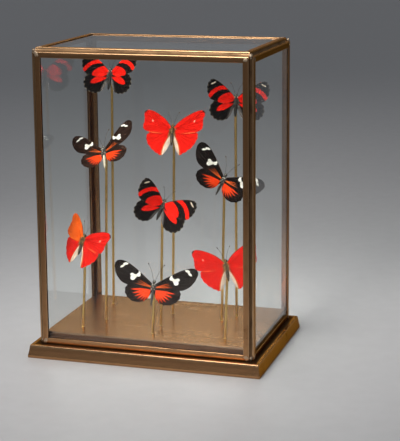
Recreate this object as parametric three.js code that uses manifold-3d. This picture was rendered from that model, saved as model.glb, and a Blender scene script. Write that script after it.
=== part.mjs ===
// Butterfly case: a brass-framed glass cover on a brass-edged plinth, with nine butterflies on brass rods.
// Millimetres, +Z up. The front faces -Y and the origin lies under the middle of the base.

import * as THREE from "three";
import { mergeVertices } from "three/addons/utils/BufferGeometryUtils.js";
import loadManifold from "manifold-3d";

const solids = await loadManifold();
solids.setup();
const { Manifold } = solids;

// Driving dimensions

const CLEARANCE = 0.3;
const CASE = { width: 210, depth: 144, height: 281, seam: 0.2 };
const CAME = { width: 5.6, thickness: 3.6, web: 2.3, slot: 2.6, chamfer: 0.7, mitreGap: 0.22 };
const GLASS_THICKNESS = 2;
const PLINTH = { width: 200.8, depth: 129.2, top: 21.4 };
const PLATE_THICKNESS = 1.6;
const SKIRT = { height: 12.5, ledge: 6.6, flare: 1.8, bevel: 0.6, foot: 2 };
const ROD = { radius: 1.25, sides: 8, socketDepth: 4.4, setBack: 4.1, below: 1.2 };
const WING = { thickness: 0.5, samples: 17, step: 0.35, hinge: new THREE.Vector2(1.5, 1.5) };
const BODY = { thoraxHalf: 4.2, headAt: 4.9, headHalf: 1.6, crown: 5.4, waist: 1.5 };
const WIRE = { antenna: 0.45, leg: 0.5, peg: 0.6 };
const DRILL_SPARE = 1;

const plateTop = PLINTH.top + PLATE_THICKNESS;
const caseBottom = SKIRT.height + CLEARANCE;
const caseTop = caseBottom + CASE.height;

// Colours and finishes

const finish = (color, roughness, metalness) =>
  new THREE.MeshStandardMaterial({ color, roughness, metalness });

const FINISH = {
  antiqueBrass: finish(0x7a5a34, 0.38, 1),
  plateBrass: finish(0xa5805c, 0.4, 1),
  rodBrass: finish(0xb08d3e, 0.3, 1),
  stainedWood: finish(0x1b1613, 0.6, 0),
  clearGlass: new THREE.MeshStandardMaterial({
    color: 0xeef2f0,
    roughness: 0.03,
    metalness: 0,
    transparent: true,
    opacity: 0.15,
  }),
  plain_red: finish(0xe3170a, 0.7, 0),
  rayed: finish(0x1d1411, 0.7, 0),
  banded: finish(0x2a100c, 0.7, 0),
};

// Butterfly kinds. An outline lists points of a right wing, from the body out and round: +X runs out from the
// body and +Y to the head.

const KINDS = {
  plain_red: {
    forewing: [
      [0.8, -1.2], [1.2, 3.2], [8.4, 11.1], [18.4, 17.2], [26.2, 20], [31, 19.8], [32.6, 17],
      [31.4, 10.5], [31.6, 4.5], [30.2, 0.6], [22, -2.2], [11, -2.6],
    ],
    hindwing: [
      [0.8, 1.5], [9, 3], [20, 1.5], [26.2, -2.2], [27, -7.2], [24.2, -13.2], [18.8, -18.6],
      [13.2, -22.2], [9.8, -23.6], [6.9, -21.2], [4.2, -16.4], [1.9, -10.5], [0.6, -4],
    ],
    body: { thorax: 2.3, abdomen: 1.7, tail: 14, antenna: 15 },
  },
  rayed: {
    forewing: [
      [0.8, -1.2], [1.2, 2.8], [8.6, 9.2], [18.4, 17], [26.4, 22], [32.6, 23.8], [36.6, 22.4],
      [38, 18.4], [36.4, 12.2], [33, 6.6], [28, 2.6], [18.4, 0], [9, -1.4],
    ],
    hindwing: [
      [0.8, 1.5], [8, 3.4], [17, 3.2], [23.6, 0.8], [26.2, -3.7], [25.2, -8.6], [21, -12.8],
      [15, -14.9], [8.8, -14.2], [4.4, -11], [1.8, -6], [0.6, -2.5],
    ],
    body: { thorax: 2.1, abdomen: 1.3, tail: 17.5, antenna: 19 },
  },
  banded: {
    forewing: [
      [0.8, -1.2], [1.2, 3.2], [9, 10.8], [18, 17.4], [24.4, 20.4], [28, 20], [30.6, 16],
      [31.1, 10.4], [29.6, 5], [26.6, 0.9], [17, -2], [8, -2.4],
    ],
    hindwing: [
      [0.8, 1.5], [9, 3], [18, 2.2], [24.4, -1.2], [27, -7.3], [25.8, -13], [21.8, -17.4],
      [16.6, -19.3], [10.6, -18.7], [5.8, -15.4], [2.6, -9], [0.6, -3.5],
    ],
    body: { thorax: 2.4, abdomen: 1.8, tail: 15, antenna: 14 },
  },
};

// Where each butterfly is set. foot is its rod's place on the plate and at is the middle of its thorax. turn
// gives degrees about the upright, of lean (below zero the head goes back) and of roll to the right. raise lifts
// the left and right wings to the front, and sweep turns the forewings towards the head.

const BUTTERFLIES = [
  { place: "back_left", kind: "banded", foot: [-70.5, 38.6], at: [-67.9, 35.6, 256.5],
    turn: [-6, -22, 0], scale: 0.99, raise: [9, 12], sweep: [-1, 5] },
  { place: "back_right", kind: "banded", foot: [61.5, 30.1], at: [62.2, 27.1, 236.2],
    turn: [20, -2, 3], scale: 0.97, raise: [17, 8], sweep: [3, 0] },
  { place: "middle_left", kind: "rayed", foot: [-58.5, -13.8], at: [-56.1, -16.8, 189.4],
    turn: [-20, -34, -26], scale: 0.92, raise: [12, -4], sweep: [7, 12] },
  { place: "back_centre", kind: "plain_red", foot: [-1.5, 21.2], at: [1.4, 18.2, 206.2],
    turn: [-8, -25, -4], scale: 1.01, raise: [2, 3], sweep: [3, 0] },
  { place: "middle_right", kind: "rayed", foot: [51.5, 12.1], at: [54.7, 9.1, 163.2],
    turn: [-5, -3, 27], scale: 1, raise: [24, 11], sweep: [3, -6] },
  { place: "middle_centre", kind: "banded", foot: [-0.5, -19.4], at: [4, -22.4, 141.8],
    turn: [14, -4, 23], scale: 1.03, raise: [34, 25], sweep: [0, -8] },
  { place: "front_left", kind: "plain_red", foot: [-71.5, -42.5], at: [-68.2, -45.6, 108.5],
    turn: [-27, -24, 7], scale: 1.03, raise: [-10, 4], sweep: [1, -9] },
  { place: "front_centre", kind: "rayed", foot: [0, -45.2], at: [2.6, -48.2, 68.9],
    turn: [5, -25, 4], scale: 1.04, raise: [2, 3], sweep: [-4, -5] },
  { place: "front_right", kind: "plain_red", foot: [70, -42], at: [72.6, -44.6, 93.2],
    turn: [3, -10, -10], scale: 0.94, raise: [4, 12], sweep: [-1, 0] },
];

// Helpers

function toSolid(geometry) {
  const bare = geometry.clone();
  bare.deleteAttribute("normal");
  bare.deleteAttribute("uv");
  const welded = mergeVertices(bare, 1e-4);
  return new Manifold(
    new solids.Mesh({
      numProp: 3,
      vertProperties: new Float32Array(welded.attributes.position.array),
      triVerts: new Uint32Array(welded.index.array),
    }),
  );
}

function toGeometry(solid) {
  const mesh = solid.getMesh();
  const geometry = new THREE.BufferGeometry();
  geometry.setAttribute("position", new THREE.BufferAttribute(new Float32Array(mesh.vertProperties), 3));
  geometry.setIndex(new THREE.BufferAttribute(new Uint32Array(mesh.triVerts), 1));
  geometry.computeVertexNormals();
  return geometry;
}

function named(name, geometry, material) {
  const mesh = new THREE.Mesh(geometry, material);
  mesh.name = name;
  return mesh;
}

const polygon = (points) => new THREE.Shape(points.map(([x, y]) => new THREE.Vector2(x, y)));

// A straight bar along X, mitred at both ends. Its section is given as [inward, up] points from its outer edge.
function mitredBar(section, length, mitreGap) {
  const bar = new THREE.ExtrudeGeometry(polygon(section), { depth: length, steps: 1, bevelEnabled: false });
  bar.translate(0, 0, -length / 2);
  const inward = new THREE.Vector3(0, 1, 0);
  const up = new THREE.Vector3(0, 0, 1);
  const along = new THREE.Vector3(1, 0, 0);
  bar.applyMatrix4(new THREE.Matrix4().makeBasis(inward, up, along));
  const reach = (length / 2 - mitreGap) * Math.SQRT1_2;
  const rightCut = [-Math.SQRT1_2, -Math.SQRT1_2, 0];
  const leftCut = [Math.SQRT1_2, -Math.SQRT1_2, 0];
  return toGeometry(toSolid(bar).trimByPlane(rightCut, -reach).trimByPlane(leftCut, -reach));
}

// The four sides of a flat frame, as [name, turn about its face, half-span that it sits at, bar length].
function frameSides(width, height, [bottom, right, top, left]) {
  return [
    { name: bottom, turn: 0, x: 0, y: -height / 2, length: width },
    { name: right, turn: Math.PI / 2, x: width / 2, y: 0, length: height },
    { name: top, turn: Math.PI, x: 0, y: height / 2, length: width },
    { name: left, turn: -Math.PI / 2, x: -width / 2, y: 0, length: height },
  ];
}

// Glass cover: five panes, each held in four brass came bars

const half = CAME.thickness / 2;
const lip = CAME.slot / 2;
const cut = CAME.chamfer;
const cameSection = [
  [cut, -half], [CAME.width - cut / 2, -half], [CAME.width, -half + cut / 3], [CAME.width, -lip],
  [CAME.web, -lip], [CAME.web, lip],
  [CAME.width, lip], [CAME.width, half - cut / 3], [CAME.width - cut / 2, half], [cut, half],
  [0, half - cut], [0, -half + cut],
];

function glassPanel(name, width, height, sideNames) {
  const panel = new THREE.Group();
  for (const side of frameSides(width, height, sideNames)) {
    const bar = named(side.name, mitredBar(cameSection, side.length, CAME.mitreGap), FINISH.antiqueBrass);
    bar.position.set(side.x, side.y, 0);
    bar.rotation.z = side.turn;
    panel.add(bar);
  }
  const edge = 2 * (CAME.web + CLEARANCE);
  const pane = new THREE.BoxGeometry(width - edge, height - edge, GLASS_THICKNESS);
  panel.add(named(`${name}_glass`, pane, FINISH.clearGlass));
  return panel;
}

function glassCover() {
  const cover = new THREE.Group();
  const inset = 2 * (CAME.thickness + CASE.seam);
  const height = CASE.height - CAME.thickness - CASE.seam;
  const uprights = [
    { name: "front", turn: 0, width: CASE.width - inset, out: CASE.depth },
    { name: "right", turn: Math.PI / 2, width: CASE.depth - inset, out: CASE.width },
    { name: "back", turn: Math.PI, width: CASE.width - inset, out: CASE.depth },
    { name: "left", turn: -Math.PI / 2, width: CASE.depth - inset, out: CASE.width },
  ];
  for (const { name, turn, width, out } of uprights) {
    const sides = ["rail_bottom", "post_right", "rail_top", "post_left"].map((side) => `${name}_${side}`);
    const panel = glassPanel(name, width, height, sides);
    const reach = (out - CAME.thickness) / 2;
    panel.position.set(Math.sin(turn) * reach, -Math.cos(turn) * reach, caseBottom + height / 2);
    panel.rotation.set(Math.PI / 2, 0, turn, "ZXY");
    cover.add(panel);
  }
  const lidSides = ["top_rail_front", "top_rail_right", "top_rail_back", "top_rail_left"];
  const lid = glassPanel("top", CASE.width - inset, CASE.depth - inset, lidSides);
  lid.position.z = caseTop - half;
  cover.add(lid);
  return cover;
}

// Base: a stained plinth with a brass plate on it, inside a brass skirt of four mitred bars

function sockets(bottom, top) {
  const radius = ROD.radius + CLEARANCE;
  return BUTTERFLIES.map(({ foot }) => {
    const hole = new THREE.CylinderGeometry(radius, radius, top - bottom, ROD.sides);
    hole.rotateX(Math.PI / 2);
    hole.translate(foot[0], foot[1], (top + bottom) / 2);
    return toSolid(hole);
  });
}

function drilledSlab(bottom, top, holeBottom) {
  const slab = new THREE.BoxGeometry(PLINTH.width, PLINTH.depth, top - bottom);
  slab.translate(0, 0, (top + bottom) / 2);
  return toGeometry(toSolid(slab).subtract(Manifold.union(sockets(holeBottom, top + DRILL_SPARE))));
}

function base() {
  const group = new THREE.Group();
  const plinthTop = PLINTH.top - CLEARANCE;
  group.add(named("plinth", drilledSlab(0, plinthTop, plinthTop - ROD.socketDepth), FINISH.stainedWood));
  const plate = drilledSlab(PLINTH.top, plateTop, PLINTH.top - DRILL_SPARE);
  group.add(named("display_plate", plate, FINISH.plateBrass));

  const overhang = SKIRT.ledge + SKIRT.flare;
  const outer = { x: CASE.width + 2 * overhang, y: CASE.depth + 2 * overhang };
  const wide = (outer.x - PLINTH.width) / 2 - CLEARANCE;
  const section = [
    [0, 0], [wide, 0], [wide, SKIRT.height], [SKIRT.flare + SKIRT.bevel, SKIRT.height],
    [SKIRT.flare, SKIRT.height - SKIRT.bevel], [0, SKIRT.foot],
  ];
  const names = ["skirt_front", "skirt_right", "skirt_back", "skirt_left"];
  for (const side of frameSides(outer.x, outer.y, names)) {
    const bar = named(side.name, mitredBar(section, side.length, CAME.mitreGap), FINISH.antiqueBrass);
    bar.position.set(side.x, side.y, 0);
    bar.rotation.z = side.turn;
    group.add(bar);
  }
  return group;
}

// Butterflies: body, wings, antennae, legs and the peg that meets the rod, joined into one solid each

function wire(points, radius, steps) {
  const section = polygon([[-radius / 2, -radius / 2], [radius / 2, -radius / 2], [0, radius * 0.7]]);
  const path = new THREE.CatmullRomCurve3(points.map((p) => new THREE.Vector3(...p)));
  return new THREE.ExtrudeGeometry(section, { steps, extrudePath: path, bevelEnabled: false });
}

function ball(radii, centre, around = 7, along = 5) {
  const shape = new THREE.SphereGeometry(1, around, along);
  shape.rotateX(Math.PI / 2);
  shape.scale(...radii);
  shape.translate(...centre);
  return shape;
}

function wingOutline(points, side) {
  const loop = points.map(([x, y]) => new THREE.Vector3(side * x, y, 0));
  const curve = new THREE.CatmullRomCurve3(loop, true, "catmullrom", 0.5);
  const outline = curve.getPoints(WING.samples).slice(0, -1);
  return new THREE.Shape(outline.map((p) => new THREE.Vector2(p.x, p.y)));
}

function wing(points, side, { raise, sweep, lift }) {
  const plate = new THREE.ExtrudeGeometry(wingOutline(points, side), {
    depth: WING.thickness,
    bevelEnabled: false,
  });
  plate.translate(-side * WING.hinge.x, -WING.hinge.y, lift - WING.thickness / 2);
  plate.rotateZ(side * THREE.MathUtils.degToRad(sweep));
  plate.translate(side * WING.hinge.x, WING.hinge.y, 0);
  plate.rotateX(Math.PI / 2);
  plate.rotateZ(-side * THREE.MathUtils.degToRad(raise));
  return plate;
}

function bodyParts({ thorax, abdomen, tail, antenna }) {
  const length = (tail - BODY.waist) / 2;
  const parts = [
    ball([thorax, thorax, BODY.thoraxHalf], [0, 0, 0]),
    ball([thorax * 0.72, thorax * 0.7, BODY.headHalf], [0, -0.2, BODY.headAt], 6, 4),
    ball([abdomen, abdomen, length], [0, 0.1, -BODY.waist - length]),
  ];
  for (const side of [-1, 1]) {
    const tip = [side * antenna * 0.42, -antenna * 0.12, BODY.crown + antenna * 0.88];
    const bend = [side * antenna * 0.2, -antenna * 0.1, BODY.crown + antenna * 0.5];
    parts.push(wire([[side * 0.5, -0.4, BODY.crown], bend, tip], WIRE.antenna, 3));
    parts.push(ball([0.5, 0.5, 0.9], tip, 4, 3));
    for (const reach of [1, -1.4]) {
      const knee = [side * 3.4, 3.2, reach + 1.6];
      const foot = [side * 2.6, 5, reach - 2.6];
      parts.push(wire([[side * 0.8, 1, reach], knee, foot], WIRE.leg, 2));
    }
  }
  const peg = ROD.setBack - ROD.radius - CLEARANCE;
  const pegBar = new THREE.CylinderGeometry(WIRE.peg, WIRE.peg, peg, 6);
  pegBar.translate(0, peg / 2, -ROD.below);
  parts.push(pegBar);
  return parts;
}

function butterfly({ place, kind, at, turn, scale, raise, sweep }) {
  const { forewing, hindwing, body } = KINDS[kind];
  const scaled = (points) => points.map(([x, y]) => [x * scale, y * scale]);
  const parts = bodyParts(body);
  for (const [index, side] of [-1, 1].entries()) {
    const fore = { raise: raise[index], sweep: sweep[index], lift: WING.step };
    const hind = { raise: raise[index], sweep: 0, lift: 0 };
    parts.push(wing(scaled(forewing), side, fore));
    parts.push(wing(scaled(hindwing), side, hind));
  }
  const mesh = named(`butterfly_${place}`, toGeometry(Manifold.union(parts.map(toSolid))), FINISH[kind]);
  const [about, lean, roll] = turn.map(THREE.MathUtils.degToRad);
  mesh.position.set(...at);
  mesh.rotation.set(lean, roll, about, "ZXY");
  mesh.updateMatrix();
  return mesh;
}

// A rod from its socket in the plinth to just behind the butterfly's thorax
function rod({ place, foot }, insect) {
  const bottom = PLINTH.top - ROD.socketDepth;
  const top = new THREE.Vector3(0, ROD.setBack, -ROD.below).applyMatrix4(insect.matrix);
  const foothold = new THREE.Vector3(foot[0], foot[1], (bottom + plateTop) / 2);
  const start = top.clone().lerp(foothold, (top.z - bottom) / (top.z - foothold.z));
  const span = top.clone().sub(start);
  const shape = new THREE.CylinderGeometry(ROD.radius, ROD.radius, span.length(), ROD.sides);
  const mesh = named(`rod_${place}`, shape, FINISH.rodBrass);
  mesh.position.copy(start).addScaledVector(span, 0.5);
  mesh.quaternion.setFromUnitVectors(new THREE.Vector3(0, 1, 0), span.normalize());
  return mesh;
}

// Assembly

const butterflyCase = new THREE.Group();
butterflyCase.add(base(), glassCover());
for (const spec of BUTTERFLIES) {
  const insect = butterfly(spec);
  butterflyCase.add(insect, rod(spec, insect));
}

export default butterflyCase;
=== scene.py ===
"""A brass-framed glass case with nine dried butterflies on rods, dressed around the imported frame.

Sizes are in millimetres and are turned into metres where a mesh is made. The floor and the lights are in
metres. The front faces -Y and +Z is up.
"""

from __future__ import annotations

import logging
import math
from dataclasses import dataclass, field, replace
from enum import Enum
from typing import Any, Callable, Union

import bmesh
import bpy
import numpy as np
from mathutils import Matrix, Vector


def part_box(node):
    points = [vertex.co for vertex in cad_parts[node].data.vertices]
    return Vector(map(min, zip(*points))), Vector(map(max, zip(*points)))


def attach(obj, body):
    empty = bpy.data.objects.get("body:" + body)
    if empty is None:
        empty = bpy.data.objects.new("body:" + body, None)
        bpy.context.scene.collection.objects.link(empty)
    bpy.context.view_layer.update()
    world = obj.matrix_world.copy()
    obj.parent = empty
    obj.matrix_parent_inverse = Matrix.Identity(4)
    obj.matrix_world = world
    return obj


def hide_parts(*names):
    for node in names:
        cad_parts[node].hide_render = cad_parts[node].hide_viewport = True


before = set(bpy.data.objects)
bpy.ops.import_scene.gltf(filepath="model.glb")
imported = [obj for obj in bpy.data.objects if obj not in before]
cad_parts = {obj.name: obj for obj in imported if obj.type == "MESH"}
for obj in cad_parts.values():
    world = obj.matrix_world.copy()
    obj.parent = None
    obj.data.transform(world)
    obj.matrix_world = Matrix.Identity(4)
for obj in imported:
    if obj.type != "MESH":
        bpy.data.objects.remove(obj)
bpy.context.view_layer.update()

MM = 0.001
BODY = "root"
IMAGE_WIDTH = 400
IMAGE_HEIGHT = 441
log = logging.getLogger("butterfly_case")

Colour = tuple[float, float, float]
Point = tuple[float, float]
Triple = tuple[float, float, float]
Array = np.ndarray
Shape = tuple[Array, list[list[int]]]
Material = bpy.types.Material
Node = bpy.types.Node
Tree = bpy.types.NodeTree
Socket = bpy.types.NodeSocket
Value = Union[Socket, float, tuple]


class Slot(Enum):
    """The material slots."""

    WOOD = "stained_wood"
    PLATE = "plate_brass"
    FRAME = "antique_brass"
    ROD = "rod_brass"
    GLASS = "clear_glass"
    RED = "red_wing"
    RAYED = "rayed_wing"
    BANDED = "banded_wing"


class Side(Enum):
    """A butterfly's sides, seen from the front of the case."""

    LEFT = -1
    RIGHT = 1


class Kind(Enum):
    """The three kinds of butterfly in the case."""

    PLAIN_RED = "plain_red"
    RAYED = "rayed"
    BANDED = "banded"


class MeshParts:
    """Gathers the points, faces, materials and attributes of one piece."""

    def __init__(self) -> None:
        """Start with nothing in the piece."""
        self.points: list[Array] = []
        self.faces: list[list[int]] = []
        self.finishes: list[int] = []
        self.values: dict[str, list[tuple[int, Array]]] = {}
        self.count = 0

    def add(
        self, points: Array, faces: list[list[int]], finish: Union[int, list[int]] = 0, **values: Any,
    ) -> None:
        """Add one closed form.

        Args:
            points: Its points, in millimetres, as rows of three numbers.
            faces: Its faces, as lists of row numbers, turning left seen from outside.
            finish: The number of its material, or one number for each face.
            **values: Named attributes, each one number or one row for each point.
        """
        points = np.asarray(points, float).reshape(-1, 3)
        self.points.append(points)
        self.faces.extend([[index + self.count for index in face] for face in faces])
        self.finishes.extend(finish if isinstance(finish, list) else [finish] * len(faces))
        for name, value in values.items():
            array = np.asarray(value, float)
            if array.ndim == 0:
                array = np.full(len(points), float(array))
            self.values.setdefault(name, []).append((self.count, array))
        self.count += len(points)

    def make(self, name: str, materials: list[Material], crease: float) -> bpy.types.Object:
        """Make the piece's object in the scene.

        Args:
            name: The object's name.
            materials: The materials that the finish numbers stand for.
            crease: Edges that turn more than this many degrees stay sharp.

        Returns:
            The new object.
        """
        mesh = bpy.data.meshes.new(name)
        mesh.from_pydata((np.vstack(self.points) * MM).tolist(), [], self.faces)
        mesh.polygons.foreach_set("material_index", self.finishes)
        mesh.polygons.foreach_set("use_smooth", [True] * len(mesh.polygons))
        for material in materials:
            mesh.materials.append(material)
        for key, chunks in self.values.items():
            self._write_attribute(mesh, key, chunks)
        mesh.update()
        mesh.set_sharp_from_angle(angle=math.radians(crease))
        piece = bpy.data.objects.new(name, mesh)
        bpy.context.scene.collection.objects.link(piece)
        return piece

    def _write_attribute(self, mesh: bpy.types.Mesh, key: str, chunks: list[tuple[int, Array]]) -> None:
        """Write one named attribute, with zero where a form doesn't give it.

        Args:
            mesh: The mesh to write to.
            key: The attribute's name.
            chunks: First rows and values of the forms that give it.
        """
        wide = chunks[0][1].ndim == 2
        whole = np.zeros((self.count, 3) if wide else self.count)
        for start, array in chunks:
            whole[start : start + len(array)] = array
        kind, channel = ("FLOAT_VECTOR", "vector") if wide else ("FLOAT", "value")
        layer = mesh.attributes.new(key, kind, "POINT")
        layer.data.foreach_set(channel, whole.ravel().astype(np.float32))


def place_piece(piece: bpy.types.Object, slot: Slot, *nodes: str) -> None:
    """Fix a piece to the case and hide the solids that it replaces, if any.

    Args:
        piece: The object.
        slot: The material slot that its finish belongs to; not used.
        *nodes: The solids that it replaces, if any.
    """
    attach(piece, BODY)
    if nodes:
        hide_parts(*nodes)
    log.info("%s: %d faces", piece.name, len(piece.data.polygons))


def node_box(*nodes: str) -> tuple[Array, Array]:
    """Find the box round some solids.

    Args:
        *nodes: The solids' names.

    Returns:
        The lowest and the highest corner, in millimetres.
    """
    corners = [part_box(node) for node in nodes]
    low = np.min([np.array(corner[0]) for corner in corners], axis=0) / MM
    high = np.max([np.array(corner[1]) for corner in corners], axis=0) / MM
    return low, high


def grid_faces(rows: int, columns: int, closed: bool) -> list[list[int]]:
    """List the quads of a grid of points.

    Args:
        rows: How many rows of points.
        columns: How many points in a row.
        closed: Whether each row joins its own start.

    Returns:
        The quads, as row numbers of the points.
    """
    across = np.arange(columns if closed else columns - 1)
    row, column = np.meshgrid(np.arange(rows - 1), across, indexing="ij")
    after = (column + 1) % columns
    near = row * columns
    far = near + columns
    return np.stack([near + column, near + after, far + after, far + column], axis=-1).reshape(-1, 4).tolist()


def capped_faces(rings: int, sides: int) -> list[list[int]]:
    """List the faces of a closed tube: the quads round it and a cap on each end.

    Args:
        rings: How many rings of points.
        sides: How many points in a ring.

    Returns:
        The faces, as row numbers of the points.
    """
    last = (rings - 1) * sides
    caps = [list(range(sides))[::-1], [last + index for index in range(sides)]]
    return grid_faces(rings, sides, closed=True) + caps


def unit_rows(rows: Array) -> Array:
    """Bring each row to a length of one."""
    return rows / np.linalg.norm(rows, axis=1)[:, None]


STEEP = 0.9


def tube(path: Array, radii: Array, sides: int) -> Shape:
    """Make a closed round tube along a path.

    Args:
        path: Points along the middle.
        radii: The radius at each point.
        sides: How many sides the tube has.

    Returns:
        Its points and its faces.
    """
    path = np.asarray(path, float)
    radii = np.broadcast_to(np.asarray(radii, float), (len(path),))
    ahead = unit_rows(np.gradient(path, axis=0))
    across = np.cross(ahead[0], (0.0, 0.0, 1.0) if abs(ahead[0][2]) < STEEP else (1.0, 0.0, 0.0))
    angles = np.linspace(0, 2 * math.pi, sides, endpoint=False)
    rings = []
    for centre, along, radius in zip(path, ahead, radii):
        across = across - along * np.dot(across, along)
        across /= np.linalg.norm(across)
        beside = np.cross(along, across)
        rings.append(centre + radius * (np.outer(np.cos(angles), across) + np.outer(np.sin(angles), beside)))
    return np.vstack(rings), capped_faces(len(path), sides)


def smooth_path(points: list[tuple[float, ...]], steps: int) -> Array:
    """Run a smooth open curve through some points.

    Args:
        points: The points that it goes through.
        steps: How many stretches it is cut into.

    Returns:
        The points along the curve.
    """
    knots = np.asarray(points, float)
    padded = np.vstack([2 * knots[0] - knots[1], knots, 2 * knots[-1] - knots[-2]])
    just_inside = 1e-9
    return hermite(padded, np.linspace(1, len(knots) - just_inside, steps + 1))


def hermite(knots: Array, places: Array) -> Array:
    """Read a smooth curve through a list of knots that goes round and round.

    Args:
        knots: The knots, as rows.
        places: Where to read it, in knot numbers.

    Returns:
        One point for each place.
    """
    count = len(knots)
    first = np.floor(places).astype(int)
    part = (places - first)[:, None]
    before, start, end, after = (knots[(first + shift) % count] for shift in (-1, 0, 1, 2))
    leave = (end - before) / 2
    arrive = (after - start) / 2
    cube = 2 * start - 2 * end + leave + arrive
    square = -3 * start + 3 * end - 2 * leave - arrive
    return ((cube * part + square) * part + leave) * part + start


WAVE_OCTAVES = 4
WAVE_JITTER = 0.3
WAVE_FADE = 1.5
WAVE_PEAK = 1.4


def wave(along: Array, seed: int, longest: float) -> Array:
    """Give a slow, uneven wave between about -1 and 1.

    Args:
        along: Places along a piece, in millimetres.
        seed: Which wave it is.
        longest: The longest wavelength in it, in millimetres.

    Returns:
        The wave at each place.
    """
    draws = np.random.default_rng(seed)
    total = np.zeros_like(np.asarray(along, float))
    for octave in range(WAVE_OCTAVES):
        turn = 2 * math.pi * (octave + 1 + draws.uniform(-WAVE_JITTER, WAVE_JITTER)) / longest
        total += np.sin(turn * along + draws.uniform(0, 2 * math.pi)) / (octave + WAVE_FADE)
    return total / WAVE_PEAK


class NodeDesk:
    """Lays out the nodes of one material or group."""

    def __init__(self, tree: Tree) -> None:
        """Work on a tree."""
        self.tree = tree

    def add(self, kind: str, inputs: dict[Union[str, int], Value], **settings: Any) -> Node:
        """Add a node.

        Args:
            kind: The node's type.
            inputs: A number, a tuple or another node's socket for each named input.
            **settings: The node's own settings.

        Returns:
            The node.
        """
        node = self.tree.nodes.new(kind)
        for key, value in settings.items():
            setattr(node, key, value)
        self.fill(node, inputs)
        return node

    def fill(self, node: Node, inputs: dict[Union[str, int], Value]) -> None:
        """Link or set several inputs of a node."""
        for key, value in inputs.items():
            self.feed(node.inputs[key], value)

    def feed(self, target: Socket, value: Value) -> None:
        """Link a socket to an input, or set the input to a plain value.

        Args:
            target: The input.
            value: A number, a tuple or another node's socket.
        """
        if isinstance(value, Socket):
            self.tree.links.new(value, target)
        elif target.type == "RGBA" and len(value) == 3:
            target.default_value = (*value, 1.0)
        else:
            target.default_value = value

    def math(self, operation: str, first: Value, second: Value = 0.0) -> Socket:
        """Add a Math node and return its result."""
        return self.add("ShaderNodeMath", {0: first, 1: second}, operation=operation).outputs[0]

    def plus(self, first: Value, second: Value) -> Socket:
        """Add up two values."""
        return self.math("ADD", first, second)

    def minus(self, first: Value, second: Value) -> Socket:
        """Take the second value from the first."""
        return self.math("SUBTRACT", first, second)

    def times(self, first: Value, second: Value) -> Socket:
        """Multiply two values."""
        return self.math("MULTIPLY", first, second)

    def vector(self, operation: str, first: Value, second: Value = (0, 0, 0)) -> Socket:
        """Add a Vector Math node and return its result."""
        node = self.add("ShaderNodeVectorMath", {0: first, 1: second}, operation=operation)
        return node.outputs["Value" if operation == "LENGTH" else "Vector"]

    def step(self, value: Value, low: Value, high: Value, start: float = 0.0, end: float = 1.0) -> Socket:
        """Add a smooth step from start at low to end at high and return its result."""
        inputs = {"Value": value, "From Min": low, "From Max": high, "To Min": start, "To Max": end}
        return self.add("ShaderNodeMapRange", inputs, interpolation_type="SMOOTHSTEP").outputs[0]

    def edge(self, value: Value, middle: Value, soft: Value, start: float = 1.0, end: float = 0.0) -> Socket:
        """Add a smooth step across a soft edge round a middle and return its result."""
        low, high = self.minus(middle, soft), self.plus(middle, soft)
        return self.step(value, low, high, start, end)

    def share(self, first: Value, second: Value, part: float) -> Socket:
        """Add up two values, the first by its part and the second by the rest."""
        return self.plus(self.times(first, part), self.times(second, 1 - part))

    def mix(self, factor: Value, first: Value, second: Value, blend: str = "MIX") -> Socket:
        """Add a colour mix and return its result."""
        inputs = {0: factor, 6: first, 7: second}
        return self.add("ShaderNodeMix", inputs, data_type="RGBA", blend_type=blend).outputs[2]

    def noise(self, place: Value, scale: float, detail: float = 3.0, rough: float = 0.55) -> Socket:
        """Add a noise and return its value, between 0 and 1."""
        inputs = {"Vector": place, "Scale": scale, "Detail": detail, "Roughness": rough}
        return self.add("ShaderNodeTexNoise", inputs).outputs[0]

    def attribute(self, name: str) -> Node:
        """Add a node that reads a mesh attribute."""
        return self.add("ShaderNodeAttribute", {}, attribute_name=name)

    def metres(self) -> Socket:
        """Add the place on the object, in metres, and return it."""
        return self.add("ShaderNodeTexCoord", {}).outputs["Object"]

    def millimetres(self) -> Socket:
        """Add the place on the object, in millimetres, and return it."""
        return self.vector("MULTIPLY", self.metres(), (1 / MM, 1 / MM, 1 / MM))

    def parts(self, place: Value) -> list[Socket]:
        """Split a vector into its three numbers."""
        return list(self.add("ShaderNodeSeparateXYZ", {0: place}).outputs)

    def join(self, x: Value, y: Value, z: Value) -> Socket:
        """Join three numbers into a vector."""
        return self.add("ShaderNodeCombineXYZ", {0: x, 1: y, 2: z}).outputs[0]

    def bump(self, height: Value, strength: float, distance: float) -> Socket:
        """Add a bump of some millimetres and return its normal."""
        inputs = {"Height": height, "Strength": strength, "Distance": distance * MM}
        return self.add("ShaderNodeBump", inputs).outputs[0]

    def use(self, group: Tree, **inputs: Value) -> Node:
        """Place a node group with its own values."""
        return self.add("ShaderNodeGroup", inputs, node_tree=group)


SOCKETS = {"float": "NodeSocketFloat", "vector": "NodeSocketVector"}
FLAT = (1.0, 1.0, 0.0)
MIDDLE = (0.5, 0.5, 0.5)
DEGREES = 180 / math.pi


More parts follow.
